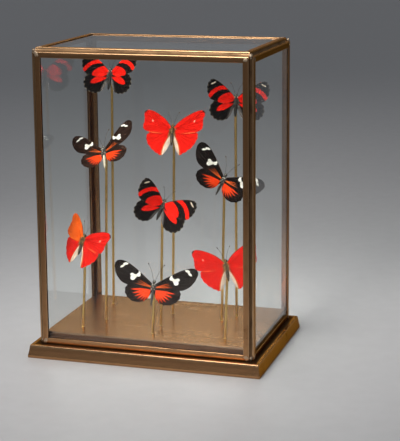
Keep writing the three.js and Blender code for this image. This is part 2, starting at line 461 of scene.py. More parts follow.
class EffectDesk(NodeDesk):
    """Lays out the effects that several finishes share, each in a group with its given inputs."""

    def __init__(self, tree: Tree) -> None:
        """Work on a group."""
        super().__init__(tree)
        self.given = tree.nodes.new("NodeGroupInput").outputs

    def streaks(self) -> list[Socket]:
        """Lay out fine lines along the first axis of the place, for brushed metal and for wood.

        Returns:
            The lines' height and tint.
        """
        narrow = self.vector("MULTIPLY", self.given["place"], (0.04, 1.7, 1.7))
        broad = self.vector("MULTIPLY", self.given["place"], (0.012, 0.5, 0.5))
        fine = self.noise(narrow, scale=1.0, detail=4.0, rough=0.7)
        slow = self.noise(broad, scale=1.0, detail=2.0)
        return [fine, self.share(fine, slow, 0.45)]

    def patina(self) -> list[Socket]:
        """Lay out cloudy darkening with a few small specks.

        Returns:
            The darkening's mask.
        """
        cloud = self.noise(self.given["place"], scale=0.045, detail=5.0, rough=0.6)
        speck = self.noise(self.given["place"], scale=0.6, detail=2.0)
        level = self.minus(0.75, self.times(self.given["amount"], 0.5))
        return [self.edge(self.share(cloud, speck, 0.8), level, 0.14, start=0.0, end=1.0)]

    def wear_and_glint(self) -> list[Socket]:
        """Lay out rubbed edges, broken up by noise; on the solder these are painted highlights.

        Returns:
            The mask of the rubbed edges and the painted highlights.
        """
        broken = self.times(self.noise(self.given["place"], scale=0.12, rough=0.6), 0.6)
        rubbed = self.minus(self.plus(self.given["edge"], broken), 0.3)
        return [self.step(rubbed, low=0.55, high=1.0)]

    def scales(self) -> list[Socket]:
        """Lay out rows of tiny wing scales with streaks that run out from the body.

        Returns:
            The scales' height and tint.
        """
        x, y, reach = self.parts(self.given["wing"])
        flat = self.join(x, y, 0.0)
        inputs = {"Vector": flat, "Scale": 5.0, "Randomness": 0.7}
        cells = self.add("ShaderNodeTexVoronoi", inputs).outputs["Distance"]
        run = self.join(self.times(self.given["cell"], 9.0), self.times(reach, 1.6), 0.0)
        streak = self.noise(run, scale=1.0)
        cloud = self.noise(flat, scale=0.16)
        height = self.plus(self.times(cells, 0.5), streak)
        return [height, self.share(streak, cloud, 0.5)]

    def _shoved(self, scale: float, detail: float, amount: Value) -> Socket:
        """Lay out the flat place on a wing, shoved about so that a mark's edge comes out ragged.

        Args:
            scale: The noise's scale.
            detail: The noise's detail.
            amount: How far the place is shoved, as a vector.

        Returns:
            The shoved place.
        """
        flat = self.vector("MULTIPLY", self.given["wing"], FLAT)
        noise = self.add("ShaderNodeTexNoise", {"Vector": flat, "Scale": scale, "Detail": detail})
        shove = self.vector("SUBTRACT", noise.outputs["Color"], MIDDLE)
        return self.vector("ADD", flat, self.vector("MULTIPLY", shove, amount))

    def _angle(self, local: Value) -> Socket:
        """Lay out the angle of a place round its hub and return it, in degrees."""
        x, y, _ = self.parts(local)
        return self.times(self.math("ARCTAN2", y, x), DEGREES)

    def spot(self) -> list[Socket]:
        """Lay out a turned oval with a ragged edge.

        Returns:
            The oval's mask.
        """
        amount = self.join(self.given["ragged"], self.given["ragged"], 0.0)
        shoved = self._shoved(0.9, 3.0, amount)
        local = self.vector("SUBTRACT", shoved, self.given["centre"])
        back = self.times(self.given["turn"], -1 / DEGREES)
        inputs = {"Vector": local, "Angle": back}
        turned = self.add("ShaderNodeVectorRotate", inputs, rotation_type="Z_AXIS").outputs[0]
        far = self.vector("LENGTH", self.vector("DIVIDE", turned, self.given["half"]))
        return [self.edge(far, 1.0, self.given["soft"])]

    def band(self) -> list[Socket]:
        """Lay out a band along an arc, between two angles in degrees, with ragged edges.

        Returns:
            The band's mask.
        """
        soft_end = 2.0
        shoved = self._shoved(0.7, 3.0, (1.5, 1.5, 0.0))
        local = self.vector("SUBTRACT", shoved, self.given["hub"])
        off = self.math("ABSOLUTE", self.minus(self.vector("LENGTH", local), self.given["radius"]))
        angle = self._angle(local)
        inside = self.edge(off, self.given["half"], 0.2)
        after = self.step(angle, self.given["first"], self.plus(self.given["first"], soft_end))
        before = self.step(angle, self.minus(self.given["last"], soft_end), self.given["last"], 1.0, 0.0)
        return [self.times(inside, self.times(after, before))]

    def rays(self) -> list[Socket]:
        """Lay out pointed rays round a hub, shorter by fall for each degree from the first one.

        Returns:
            The rays' mask.
        """
        shoved = self._shoved(0.8, 2.0, (0.5, 0.5, 0.0))
        local = self.vector("SUBTRACT", shoved, self.given["hub"])
        gone = self.minus(self._angle(local), self.given["first"])
        number = self.math("DIVIDE", gone, self.given["spacing"])
        part = self.math("FRACT", self.plus(number, 0.5))
        swing = self.math("ABSOLUTE", self.minus(part, 0.5))
        pointed = self.math("POWER", self.minus(1.0, self.times(swing, 2.0)), 1.3)
        shorter = self.times(self.given["fall"], self.math("ABSOLUTE", gone))
        tip = self.minus(self.given["reach"], shorter)
        hollow = self.times(self.minus(1.0, self.given["solid"]), pointed)
        limit = self.times(tip, self.plus(self.given["solid"], hollow))
        spare = self.minus(limit, self.vector("LENGTH", local))
        inside = self.step(spare, low=-0.18, high=0.18)
        after = self.step(number, low=-0.62, high=-0.42)
        before = self.edge(number, self.minus(self.given["count"], 0.5), 0.1)
        return [self.times(inside, self.times(after, before))]


Fill = Callable[[EffectDesk], list[Socket]]


class Effects:
    """The shared effects, each one node group."""

    def __init__(self) -> None:
        """Build every group once."""
        place = {"place": "vector"}
        wing = {"wing": "vector"}
        self.streaks = self._group("brushed_streaks", EffectDesk.streaks, place, ["height", "tint"])
        self.patina = self._group("patina", EffectDesk.patina, {**place, "amount": "float"}, ["mask"])
        self.wear_and_glint = self._group("edge_wear_and_glint", EffectDesk.wear_and_glint, {**place, "edge": "float"}, ["mask"])
        scaled = {**wing, "cell": "float"}
        self.scales = self._group("wing_scales", EffectDesk.scales, scaled, ["height", "tint"])
        oval = {**wing, "centre": "vector", "half": "vector"}
        spot = oval | dict.fromkeys(("turn", "ragged", "soft"), "float")
        self.spot = self._group("ragged_spot", EffectDesk.spot, spot, ["mask"])
        arc = {**wing, "hub": "vector"}
        band = arc | dict.fromkeys(("radius", "half", "first", "last"), "float")
        self.band = self._group("arc_band", EffectDesk.band, band, ["mask"])
        rays = arc | dict.fromkeys(("first", "spacing", "count", "reach", "fall", "solid"), "float")
        self.rays = self._group("ray_fan", EffectDesk.rays, rays, ["mask"])

    @staticmethod
    def _group(name: str, fill: Fill, inputs: dict[str, str], outputs: list[str]) -> Tree:
        """Make one node group.

        Args:
            name: The group's name.
            fill: A method that lays out its nodes and returns one socket for each output.
            inputs: The inputs' names and kinds.
            outputs: The outputs' names, all single numbers.

        Returns:
            The group.
        """
        tree = bpy.data.node_groups.new(name, "ShaderNodeTree")
        for key, kind in inputs.items():
            tree.interface.new_socket(name=key, in_out="INPUT", socket_type=SOCKETS[kind])
        for key in outputs:
            tree.interface.new_socket(name=key, in_out="OUTPUT", socket_type=SOCKETS["float"])
        desk = EffectDesk(tree)
        leave = tree.nodes.new("NodeGroupOutput")
        for key, socket in zip(outputs, fill(desk)):
            tree.links.new(socket, leave.inputs[key])
        return tree


def new_surface(name: str) -> tuple[Material, NodeDesk, Node]:
    """Start a material with a Principled surface.

    Args:
        name: The material's name.

    Returns:
        The material, its desk and the Principled node.
    """
    material = bpy.data.materials.new(name)
    material.use_nodes = True
    material.node_tree.nodes.clear()
    desk = NodeDesk(material.node_tree)
    surface = desk.add("ShaderNodeBsdfPrincipled", {})
    desk.add("ShaderNodeOutputMaterial", {"Surface": surface.outputs[0]})
    return material, desk, surface


# Colour of the painted shade on the skirt's ledge under the cames.
PAINTED_SHADE_COLOUR = (0.055, 0.032, 0.018)
MOST_NOISE = (0.3, 0.7)
ALL_NOISE = (0.2, 0.8)


@dataclass(frozen=True)
class BrassFinish:
    """Aged brass: brushed along the piece, clouded with patina, rubbed bright at edges, darkened by painted
    shade where the edge value is below zero.

    bright, body and dark are the rubbed, plain and clouded metal, and glance is its colour at a low angle. On
    the solder's lumps and the ends of its strips the bright colour is a painted highlight.
    """

    name: str
    bright: Colour
    body: Colour
    dark: Colour
    glance: Colour
    roughness: float
    aged: float
    grain: float
    rubbed: float
    streaked: float = 0.07
    patina_dulls: float = 0.10
    lines_dull: float = 0.14
    painted_shade_dulls: float = 0.45
    line_strength: float = 0.35

    def material(self, effects: Effects) -> Material:
        """Build the material.

        Args:
            effects: The shared effects.

        Returns:
            The material.
        """
        material, desk, surface = new_surface(self.name)
        place = desk.attribute("bar_place").outputs["Vector"]
        edge = desk.attribute("edge").outputs["Fac"]
        streaks = desk.use(effects.streaks, place=place)
        patina = desk.use(effects.patina, place=place, amount=self.aged).outputs["mask"]
        wear_and_glint = desk.use(effects.wear_and_glint, place=place, edge=edge).outputs["mask"]
        aged = desk.mix(patina, self.body, self.dark)
        shade = desk.step(streaks.outputs["tint"], *MOST_NOISE, 1 - self.streaked, 1 + self.streaked)
        brushed = desk.mix(1.0, aged, shade, "MULTIPLY")
        rubbed = desk.mix(desk.times(wear_and_glint, self.rubbed), brushed, self.bright)
        # Painted shade: darkens the inner ledge under the cames fully, and the solder strips along the
        # grooves a little.
        painted_shade = desk.step(edge, low=-0.1, high=-1.0)
        lines = streaks.outputs["height"]
        dull = desk.plus(desk.times(patina, self.patina_dulls), desk.times(lines, self.lines_dull))
        rough = desk.plus(dull, self.roughness - self.lines_dull / 2)
        desk.fill(surface, {
            "Base Color": desk.mix(painted_shade, rubbed, PAINTED_SHADE_COLOUR),
            "Roughness": desk.plus(rough, desk.times(painted_shade, self.painted_shade_dulls)),
            "Normal": desk.bump(lines, self.line_strength, self.grain),
            "Metallic": 1.0,
            "Specular Tint": self.glance,
        })
        return material


ANTIQUE_BRASS = BrassFinish(
    "antique_brass_bars", bright=(0.70, 0.47, 0.27), body=(0.35, 0.184, 0.086), dark=(0.19, 0.096, 0.042),
    glance=(0.74, 0.48, 0.28), roughness=0.22, aged=0.25, grain=0.02, rubbed=0.4,
)
# Solder: its bright colour, brought on by the edge value on the lumps, dabs and ends of the strips, is a
# painted highlight.
SOLDER = BrassFinish(
    "solder_seam", bright=(0.60, 0.47, 0.34), body=(0.26, 0.155, 0.08), dark=(0.10, 0.055, 0.03),
    glance=(0.80, 0.66, 0.52), roughness=0.33, aged=0.4, grain=0.04, rubbed=0.9,
)
PLATE_BRASS = BrassFinish(
    "brushed_plate", bright=(0.51, 0.345, 0.235), body=(0.33, 0.212, 0.134), dark=(0.24, 0.150, 0.090),
    glance=(0.62, 0.445, 0.315), roughness=0.25, aged=0.15, grain=0.008, rubbed=0.25, streaked=0.10,
)
ROD_BRASS = BrassFinish(
    "rod_brass_drawn", bright=(0.97, 0.74, 0.37), body=(0.90, 0.59, 0.205), dark=(0.60, 0.37, 0.11),
    glance=(0.95, 0.74, 0.40), roughness=0.28, aged=0.25, grain=0.02, rubbed=0.5,
)


@dataclass(frozen=True)
class WoodFinish:
    """Dark stained wood with its grain along the case."""

    name: str = "stained_wood_grain"
    light: Colour = (0.13, 0.055, 0.022)
    dark: Colour = (0.055, 0.023, 0.010)
    roughness: Point = (0.42, 0.62)
    gloss: float = 0.25

    def material(self, effects: Effects) -> Material:
        """Build the material.

        Args:
            effects: The shared effects.

        Returns:
            The material.
        """
        material, desk, surface = new_surface(self.name)
        grain = desk.use(effects.streaks, place=desk.millimetres())
        height = grain.outputs["height"]
        tone = desk.step(grain.outputs["tint"], *MOST_NOISE)
        desk.fill(surface, {
            "Base Color": desk.mix(tone, self.dark, self.light),
            "Roughness": desk.step(height, *ALL_NOISE, *self.roughness),
            "Normal": desk.bump(height, strength=0.4, distance=0.2),
            "Specular IOR Level": self.gloss,
        })
        return material


@dataclass(frozen=True)
class GlassFinish:
    """Clear drawn glass with a faint ripple."""

    name: str = "clear_drawn_glass"
    tint: Colour = (0.975, 0.99, 0.982)
    index: float = 1.32
    smudged: float = 0.02

    def material(self) -> Material:
        """Build the material, which lets light through to what stands behind it.

        Returns:
            The material.
        """
        material, desk, surface = new_surface(self.name)
        metres = desk.metres()
        ripple = desk.noise(metres, scale=14.0, detail=2.0)
        smudge = desk.noise(metres, scale=38.0, detail=4.0)
        desk.fill(surface, {
            "Base Color": self.tint,
            "Roughness": desk.step(smudge, 0.6, 0.85, 0.0, self.smudged),
            "Normal": desk.bump(ripple, strength=0.12, distance=0.6),
            "Transmission Weight": 1.0,
            "IOR": self.index,
        })
        path = desk.add("ShaderNodeLightPath", {}).outputs["Is Shadow Ray"]
        clear = desk.add("ShaderNodeBsdfTransparent", {"Color": self.tint}).outputs[0]
        both = desk.add("ShaderNodeMixShader", {0: path, 1: surface.outputs[0], 2: clear}).outputs[0]
        output = next(node for node in material.node_tree.nodes if node.type == "OUTPUT_MATERIAL")
        desk.feed(output.inputs["Surface"], both)
        return material


@dataclass(frozen=True)
class TonedFinish:
    """A body surface whose colour runs from dark to pale by the mesh's tone."""

    name: str
    dark: Colour
    pale: Colour
    roughness: float
    sheen: float = 0.0
    coat: float = 0.0
    grain: float = 2.0
    mottle: float = 0.27
    uneven: float = 0.07

    def material(self) -> Material:
        """Build the material.

        Returns:
            The material.
        """
        material, desk, surface = new_surface(self.name)
        cloud = desk.noise(desk.millimetres(), self.grain)
        tone = desk.attribute("tone").outputs["Fac"]
        colour = desk.mix(tone, self.dark, self.pale)
        shade = desk.step(cloud, *MOST_NOISE, 1 - self.mottle, 1 + self.mottle)
        rough = desk.step(cloud, *ALL_NOISE, self.roughness - self.uneven, self.roughness + self.uneven)
        desk.fill(surface, {
            "Base Color": desk.mix(1.0, colour, shade, "MULTIPLY"),
            "Roughness": rough,
            "Normal": desk.bump(cloud, strength=0.3, distance=0.08),
            "Sheen Weight": self.sheen,
            "Coat Weight": self.coat,
        })
        return material


EYE = TonedFinish("eye_brown", (0.02, 0.011, 0.008), (0.09, 0.05, 0.03), roughness=0.22, coat=0.4, grain=9.0)
HORN = TonedFinish("horn_brown", (0.02, 0.012, 0.008), (0.32, 0.18, 0.08), roughness=0.45)
GLUE = TonedFinish("amber_glue", (0.20, 0.11, 0.04), (0.55, 0.38, 0.18), roughness=0.3, coat=0.3)


@dataclass(frozen=True)
class Spot:
    """An oval mark on a wing: middle and half sizes in millimetres, turned by some degrees."""

    colour: Colour
    centre: Point
    half: Point
    turn: float = 0.0
    ragged: float = 0.5
    soft: float = 0.1

    def mask(self, desk: NodeDesk, effects: Effects, wing: Socket) -> Socket:
        """Lay out the mark and return its mask."""
        node = desk.use(
            effects.spot, wing=wing, centre=(*self.centre, 0.0), half=(*self.half, 1.0),
            turn=self.turn, ragged=self.ragged, soft=self.soft,
        )
        return node.outputs["mask"]


@dataclass(frozen=True)
class Band:
    """A band along an arc round a hub, between two angles in degrees."""

    colour: Colour
    hub: Point
    radius: float
    half: float
    angles: Point

    def mask(self, desk: NodeDesk, effects: Effects, wing: Socket) -> Socket:
        """Lay out the mark and return its mask."""
        node = desk.use(
            effects.band, wing=wing, hub=(*self.hub, 0.0), radius=self.radius, half=self.half,
            first=self.angles[0], last=self.angles[1],
        )
        return node.outputs["mask"]


@dataclass(frozen=True)
class Rays:
    """Pointed rays round a hub, at equal angles in degrees."""

    colour: Colour
    hub: Point
    first: float
    spacing: float
    count: int
    reach: float
    fall: float
    solid: float

    def mask(self, desk: NodeDesk, effects: Effects, wing: Socket) -> Socket:
        """Lay out the mark and return its mask."""
        node = desk.use(
            effects.rays, wing=wing, hub=(*self.hub, 0.0), first=self.first, spacing=self.spacing,
            count=float(self.count), reach=self.reach, fall=self.fall, solid=self.solid,
        )
        return node.outputs["mask"]


Mark = Union[Spot, Band, Rays]


FRINGE_RIM = (0.955, 0.985)
FRINGE_DOT = (0.12, 0.3)
SCALE_HEIGHTS = (0.3, 1.2)


@dataclass(frozen=True)
class WingFinish:
    """The scales of one wing face: a ground colour with marks, veins and a fringe."""

    name: str
    ground: Colour
    vein: Colour
    marks: tuple[Mark, ...] = ()
    veined: float = 0.5
    fringe: Colour = (0.6, 0.5, 0.38)
    fringed: float = 0.0
    faded: Colour = (0.075, 0.030, 0.016)
    # Colour of the painted glow, where light would shine through the wing.
    warm: Colour = (0.82, 0.13, 0.008)
    shaded: Point = (0.78, 1.16)
    roughness: Point = (0.74, 0.92)
    gloss: float = 0.05

    def material(self, effects: Effects) -> Material:
        """Build the material.

        Args:
            effects: The shared effects.

        Returns:
            The material.
        """
        material, desk, surface = new_surface(self.name)
        wing = desk.attribute("wing_place").outputs["Vector"]
        cell, vein, fade = desk.parts(desk.attribute("wing_trim").outputs["Vector"])
        warmth = desk.attribute("warm").outputs["Fac"]
        scales = desk.use(effects.scales, wing=wing, cell=cell)
        shade = desk.step(scales.outputs["tint"], *MOST_NOISE, *self.shaded)
        colour = desk.mix(desk.times(fade, 0.8), self.ground, self.faded)
        for mark in self.marks:
            colour = desk.mix(mark.mask(desk, effects, wing), colour, mark.colour)
        # Painted glow: the glow value pushes the colour towards orange, standing in for light shining through
        # the wing.
        colour = desk.mix(desk.times(warmth, 0.9), colour, self.warm)
        colour = desk.mix(1.0, colour, shade, "MULTIPLY")
        colour = desk.mix(desk.times(vein, self.veined), colour, self.vein)
        reach = desk.parts(wing)[2]
        middle = desk.math("ABSOLUTE", desk.minus(desk.math("FRACT", cell), 0.5))
        dots = desk.times(desk.step(reach, *FRINGE_RIM), desk.step(middle, *FRINGE_DOT, 1.0, 0.0))
        colour = desk.mix(desk.times(dots, self.fringed), colour, self.fringe)
        height = scales.outputs["height"]
        desk.fill(surface, {
            "Base Color": colour,
            "Roughness": desk.step(height, *SCALE_HEIGHTS, *self.roughness),
            "Normal": desk.bump(height, strength=0.35, distance=0.05),
            "Specular IOR Level": self.gloss,
        })
        return material


RED = (0.64, 0.008, 0.003)
SCARLET = (0.88, 0.012, 0.004)
ORANGE_RED = (0.82, 0.052, 0.006)
ORANGE = (0.66, 0.11, 0.015)
VELVET = (0.006, 0.0042, 0.0036)
WHITE = (0.86, 0.84, 0.76)
CREAM = (0.78, 0.66, 0.50)
BLUSH = (0.70, 0.54, 0.42)


@dataclass(frozen=True)
class Plumage:
    """The finishes of one kind: both faces of both wings, and the body's fur and skin."""

    fore_top: WingFinish
    fore_under: WingFinish
    hind_top: WingFinish
    hind_under: WingFinish
    fur: TonedFinish
    skin: TonedFinish

    def materials(self, effects: Effects) -> list[Material]:
        """Build the materials, in the order of Coat.

        Args:
            effects: The shared effects.

        Returns:
            The materials.
        """
        faces = (self.fore_top, self.fore_under, self.hind_top, self.hind_under)
        return [*(face.material(effects) for face in faces), self.fur.material(), self.skin.material()]


def dulled(colour: Colour, towards: Colour, amount: float) -> Colour:
    """Move a colour part of the way to another.

    Args:
        colour: The colour to start from.
        towards: The colour to move to.
        amount: How far to go, from 0 to 1.

    Returns:
        The new colour.
    """
    return tuple(a + (b - a) * amount for a, b in zip(colour, towards))


RAYED_SPOTS = (
    Spot(WHITE, (27.6, 20.3), (2.4, 1.1), -8, 0.5, 0.16),
    Spot(WHITE, (30.4, 18.0), (2.3, 1.0), -29, 0.5, 0.16),
    Spot(WHITE, (20.0, 7.6), (2.2, 1.9), 20),
    Spot(WHITE, (20.6, 10.7), (1.9, 1.5), 15),
    Spot(WHITE, (18.4, 9.2), (2.0, 1.9), 0),
    Spot(WHITE, (16.4, 10.1), (1.6, 1.0), 10),
    Spot(WHITE, (14.7, 10.7), (1.8, 1.6), 20),
    Spot(WHITE, (14.0, 12.8), (1.0, 1.7), 8),
)
RAYED_STREAKS = Rays(
    ORANGE, hub=(1.0, -0.2), first=26.0, spacing=-7.4, count=3, reach=14.4, fall=-0.17, solid=0.3,
)
RAYED_FAN = Rays(
    ORANGE_RED, hub=(2.0, -2.2), first=-5.0, spacing=-11.8, count=7, reach=18.8, fall=0.10, solid=0.57,
)
BANDED_FORE = (
    Band(SCARLET, hub=(11.7, -5.3), radius=18.35, half=1.95, angles=(25.0, 97.0)),
    Spot(SCARLET, (9.2, 2.7), (10.2, 5.1), -20, 1.0, 0.05),
    Spot(CREAM, (25.0, 16.5), (2.8, 0.7), -28, 0.3, 0.16),
)
BANDED_PATCH = Spot(SCARLET, (10.2, -4.1), (10.4, 3.3), -28, 1.0, 0.06)


def rayed_plumage() -> Plumage:
    """Gather the finishes of the rayed black kind.

    Returns:
        The finishes.
    """
    brown = (0.10, 0.055, 0.03)
    dark_brown = (0.02, 0.012, 0.008)
    under = dulled(VELVET, brown, 0.75)
    pale = tuple(replace(spot, colour=dulled(spot.colour, brown, 0.25)) for spot in RAYED_SPOTS)
    streaks = replace(RAYED_STREAKS, colour=dulled(ORANGE, brown, 0.5))
    fan = replace(RAYED_FAN, colour=dulled(ORANGE_RED, brown, 0.6))
    top_marks = (*RAYED_SPOTS, RAYED_STREAKS)
    return Plumage(
        WingFinish("rayed_fore_top", VELVET, (0.004, 0.003, 0.003), top_marks, veined=0.65),
        WingFinish("rayed_fore_under", under, dark_brown, (*pale, streaks)),
        WingFinish("rayed_hind_top", VELVET, (0.03, 0.006, 0.004), (RAYED_FAN,), veined=0.3),
        WingFinish("rayed_hind_under", under, dark_brown, (fan,)),
        TonedFinish("rayed_fur", (0.008, 0.006, 0.005), (0.78, 0.74, 0.64), roughness=0.7, sheen=0.02),
        TonedFinish("rayed_skin", (0.009, 0.007, 0.006), (0.70, 0.62, 0.45), roughness=0.5),
    )


def banded_plumage() -> Plumage:
    """Gather the finishes of the banded kind.

    Returns:
        The finishes.
    """
    slate = (0.16, 0.14, 0.13)
    rose = dulled(RED, (0.6, 0.25, 0.16), 0.6)
    inner = Spot(slate, (3.6, -12.5), (8.5, 3.0), -74, 1.0, 0.4)
    ring_radii = (3.2, 5.6, 8.2)
    rings = tuple(Band(CREAM, (13.5, -8.6), radius, 0.4, (-180.0, 180.0)) for radius in ring_radii)
    eyes = (Spot(VELVET, (11.8, -8.2), (1.3, 1.3)), Spot(VELVET, (15.4, -9.2), (1.2, 1.2)))
    under_fore = tuple(replace(mark, colour=rose) for mark in BANDED_FORE[:2])
    hind_marks = (BANDED_PATCH, inner)
    fore_ground, hind_ground = dulled(VELVET, slate, 0.35), dulled(VELVET, slate, 0.3)
    return Plumage(
        WingFinish("banded_fore_top", VELVET, (0.02, 0.004, 0.003), BANDED_FORE, 0.25, CREAM, fringed=0.15),
        WingFinish("banded_fore_under", fore_ground, VELVET, under_fore, 0.4, CREAM, fringed=0.3),
        WingFinish("banded_hind_top", VELVET, (0.02, 0.008, 0.006), hind_marks, 0.35, CREAM, fringed=0.28),
        WingFinish("banded_hind_under", hind_ground, VELVET, rings + eyes, 0.4, CREAM, fringed=0.8),
        TonedFinish("banded_fur", (0.009, 0.007, 0.006), (0.72, 0.66, 0.5), roughness=0.7, sheen=0.02),
        TonedFinish("banded_skin", (0.010, 0.008, 0.007), (0.3, 0.26, 0.2), roughness=0.5),
    )


def red_plumage() -> Plumage:
    """Gather the finishes of the plain red kind.

    Returns:
        The finishes.
    """
    ochre = (0.36, 0.16, 0.055)
    umber = (0.17, 0.07, 0.03)
    pink = (0.75, 0.2, 0.15)
    apex = Spot((0.012, 0.006, 0.005), (32.0, 19.2), (3.6, 1.8), -52, 0.6, 0.2)
    dot = Spot((0.92, 0.34, 0.24), (22.2, 9.4), (1.2, 0.7), 70, 0.3, 0.35)
    # A lighter line along the forewing's rear edge, over the hindwing: a painted highlight.
    rear_edge_highlight = Spot((0.80, 0.11, 0.03), (17.0, -2.3), (14.5, 0.45), 5, 0.4, 0.45)
    fold = Spot(BLUSH, (3.5, -14.8), (12.2, 3.9), -70, 0.8, 0.08)
    hem = Spot((0.50, 0.13, 0.03), (4.0, -15.2), (12.8, 4.4), -70, 0.8, 0.14)
    line = Band(umber, hub=(-14.0, 2.0), radius=34.0, half=0.6, angles=(-60.0, 60.0))
    fore_marks = (dot, rear_edge_highlight, apex)
    return Plumage(
        WingFinish("red_fore_top", RED, (0.22, 0.004, 0.002), fore_marks, 0.75, pink, fringed=0.1),
        WingFinish("red_fore_under", ochre, umber, (line,), 0.45, umber, fringed=0.2),
        WingFinish("red_hind_top", RED, (0.26, 0.005, 0.002), (hem, fold), 0.5, pink, fringed=0.1),
        WingFinish("red_hind_under", ochre, umber, (line,), 0.45, umber, fringed=0.2),
        TonedFinish(
            "red_fur", (0.022, 0.011, 0.004), (0.64, 0.37, 0.08), roughness=0.6, sheen=0.02,
            grain=0.9, mottle=0.75,
        ),
        TonedFinish("red_skin", (0.035, 0.019, 0.009), (0.6, 0.44, 0.24), roughness=0.5),
    )


RIPPLES = ((0.22, 1.9), (0.14, 4.1))
NUDGE = 0.01


@dataclass(frozen=True)
class WingPlan:
    """A right wing seen from above: x runs out from the body and y to the head.

    veins holds the outline places of the first and last vein and how many veins there are. The gutter is
    the fold along the inner edge, past a slanting line.
    """

    outline: tuple[Point, ...]
    hub: Point
    veins: tuple[float, float, int]
    bow: float
    scallop: float = 0.0
    lift: float = 0.0
    gutter: float = 0.0
    gutter_width: float = 3.4
    gutter_slant: float = 0.345
    gutter_start: float = 2.0
    rings: int = 27
    squeeze: float = 0.4
    squeeze_reach: float = 1.1
    vein_half: float = 0.26
    vein_height: float = 0.11
    sag: float = 0.24
    lines_between: int = 5
    rest_step: float = 0.25

    def columns(self) -> tuple[Array, Array, Array]:
        """Choose where lines run out from the hub, with three close together at each vein.

        Returns:
            Outline places, each line's vein number (fractions lie between veins) and 1 for a vein or else 0.
        """
        first, last, count = self.veins
        stops = np.linspace(first, last, count)
        speed = np.linalg.norm(self._edge(stops + NUDGE) - self._edge(stops - NUDGE), axis=1) / (2 * NUDGE)
        widths = self.vein_half / speed
        places, veins = [], []
        for stop, width in zip(stops, widths):
            places += [stop - width, stop, stop + width]
            veins += [0.0, 1.0, 0.0]
        for start, end in zip(stops[:-1], stops[1:]):
            places += list(np.linspace(start, end, self.lines_between + 2)[1:-1])
            veins += [0.0] * self.lines_between
        end = first + len(self.outline) - 0.1
        round_rest = np.arange(last + self.rest_step, end, self.rest_step)
        places += list(round_rest)
        veins += [0.0] * len(round_rest)
        order = np.argsort(places)
        places = np.array(places)[order]
        number = (places - first) / (last - first) * (count - 1)
        return places, number, np.array(veins)[order]

    def _edge(self, places: Array) -> Array:
        """Read the outline at some places."""
        return hermite(np.asarray(self.outline, float), np.asarray(places, float))

    def grid(self) -> dict[str, Array]:
        """Lay the wing out flat, on lines that leave the hub closer together and bend to the outline.

        Returns:
            Arrays with one row of points for each ring, from the hub out: the flat place, the ring, the vein
            number, 1 on a vein, 1 halfway between veins, and the distance from the hub.
        """
        places, number, vein = self.columns()
        edge = self._edge(places)
        hub = np.asarray(self.hub)
        count = self.veins[2]
        between = np.where((number > 0) & (number < count - 1), np.sin(math.pi * number) ** 2, 0.0)
        edge = hub + (edge - hub) * (1 - self.scallop * between)[:, None]
        spoke = edge - hub
        far = np.linalg.norm(spoke, axis=1)
        ends = unit_rows(self._edge(np.array(self.veins[:2])) - hub)
        middle = math.atan2(*(ends[0] + ends[1])[::-1])
        turn = (np.arctan2(spoke[:, 1], spoke[:, 0]) - middle + math.pi) % (2 * math.pi) - math.pi
        start = middle + turn * (1 - self.squeeze * np.exp(-((turn / self.squeeze_reach) ** 4)))
        bend = hub + 0.5 * far[:, None] * np.stack([np.cos(start), np.sin(start)], axis=1)
        ring = np.concatenate([np.linspace(0.04, 0.95, self.rings - 2), [0.977, 1.0]])[:, None, None]
        flat = (1 - ring) ** 2 * hub + 2 * ring * (1 - ring) * bend + ring**2 * edge
        shape = flat.shape[:2]
        return {
            "flat": flat,
            "ring": np.broadcast_to(ring[:, :, 0], shape),
            "number": np.broadcast_to(number, shape),
            "vein": np.broadcast_to(vein, shape),
            "between": np.broadcast_to(between, shape),
            "far": np.linalg.norm(flat - hub, axis=2) / far.max(),
        }

    def rise(self, grid: dict[str, Array], draws: np.random.Generator) -> Array:
        """Work out each point's height over the flat wing: veins, sagging cells, a bow and dried ripples.

        Args:
            grid: The flat wing.
            draws: Random numbers for the ripples.

        Returns:
            The heights, in millimetres.
        """
        ring, far = grid["ring"], grid["far"]
        veins = self.vein_height * grid["vein"] * (1.15 - 0.8 * ring)
        sag = -self.sag * grid["between"] * np.sin(math.pi * np.clip(ring, 0, 0.9))
        bow = -self.bow * far**2
        swing = draws.uniform(0, 2 * math.pi, 3)
        ripple = sum(high * np.sin(pace * grid["number"] + at) for (high, pace), at in zip(RIPPLES, swing))
        inner = grid["flat"][:, :, 0] + self.gutter_slant * grid["flat"][:, :, 1] - self.gutter_start
        gutter = -self.gutter * np.clip(-inner, 0, self.gutter_width) * np.clip(ring * 1.4 - 0.35, 0, 1)
        return veins + sag + bow + ripple * ring**3 + gutter


FORE_HUB = (1.5, 1.5)
HIND_HUB = (1.6, 0.2)
FORE_LIFT = 0.35
WING_HINGE = np.array([1.5, 1.5])
SHEET = 0.12


@dataclass(frozen=True)
class KindPlan:
    """The shape of one kind: its wings and its body's sizes."""

    slot: Slot
    fore: WingPlan
    hind: WingPlan
    thorax: float
    abdomen: float
    tail: float
    antenna: float
    hair_tone: float
    pale_tufts: tuple[Triple, ...]
    hair_length: float


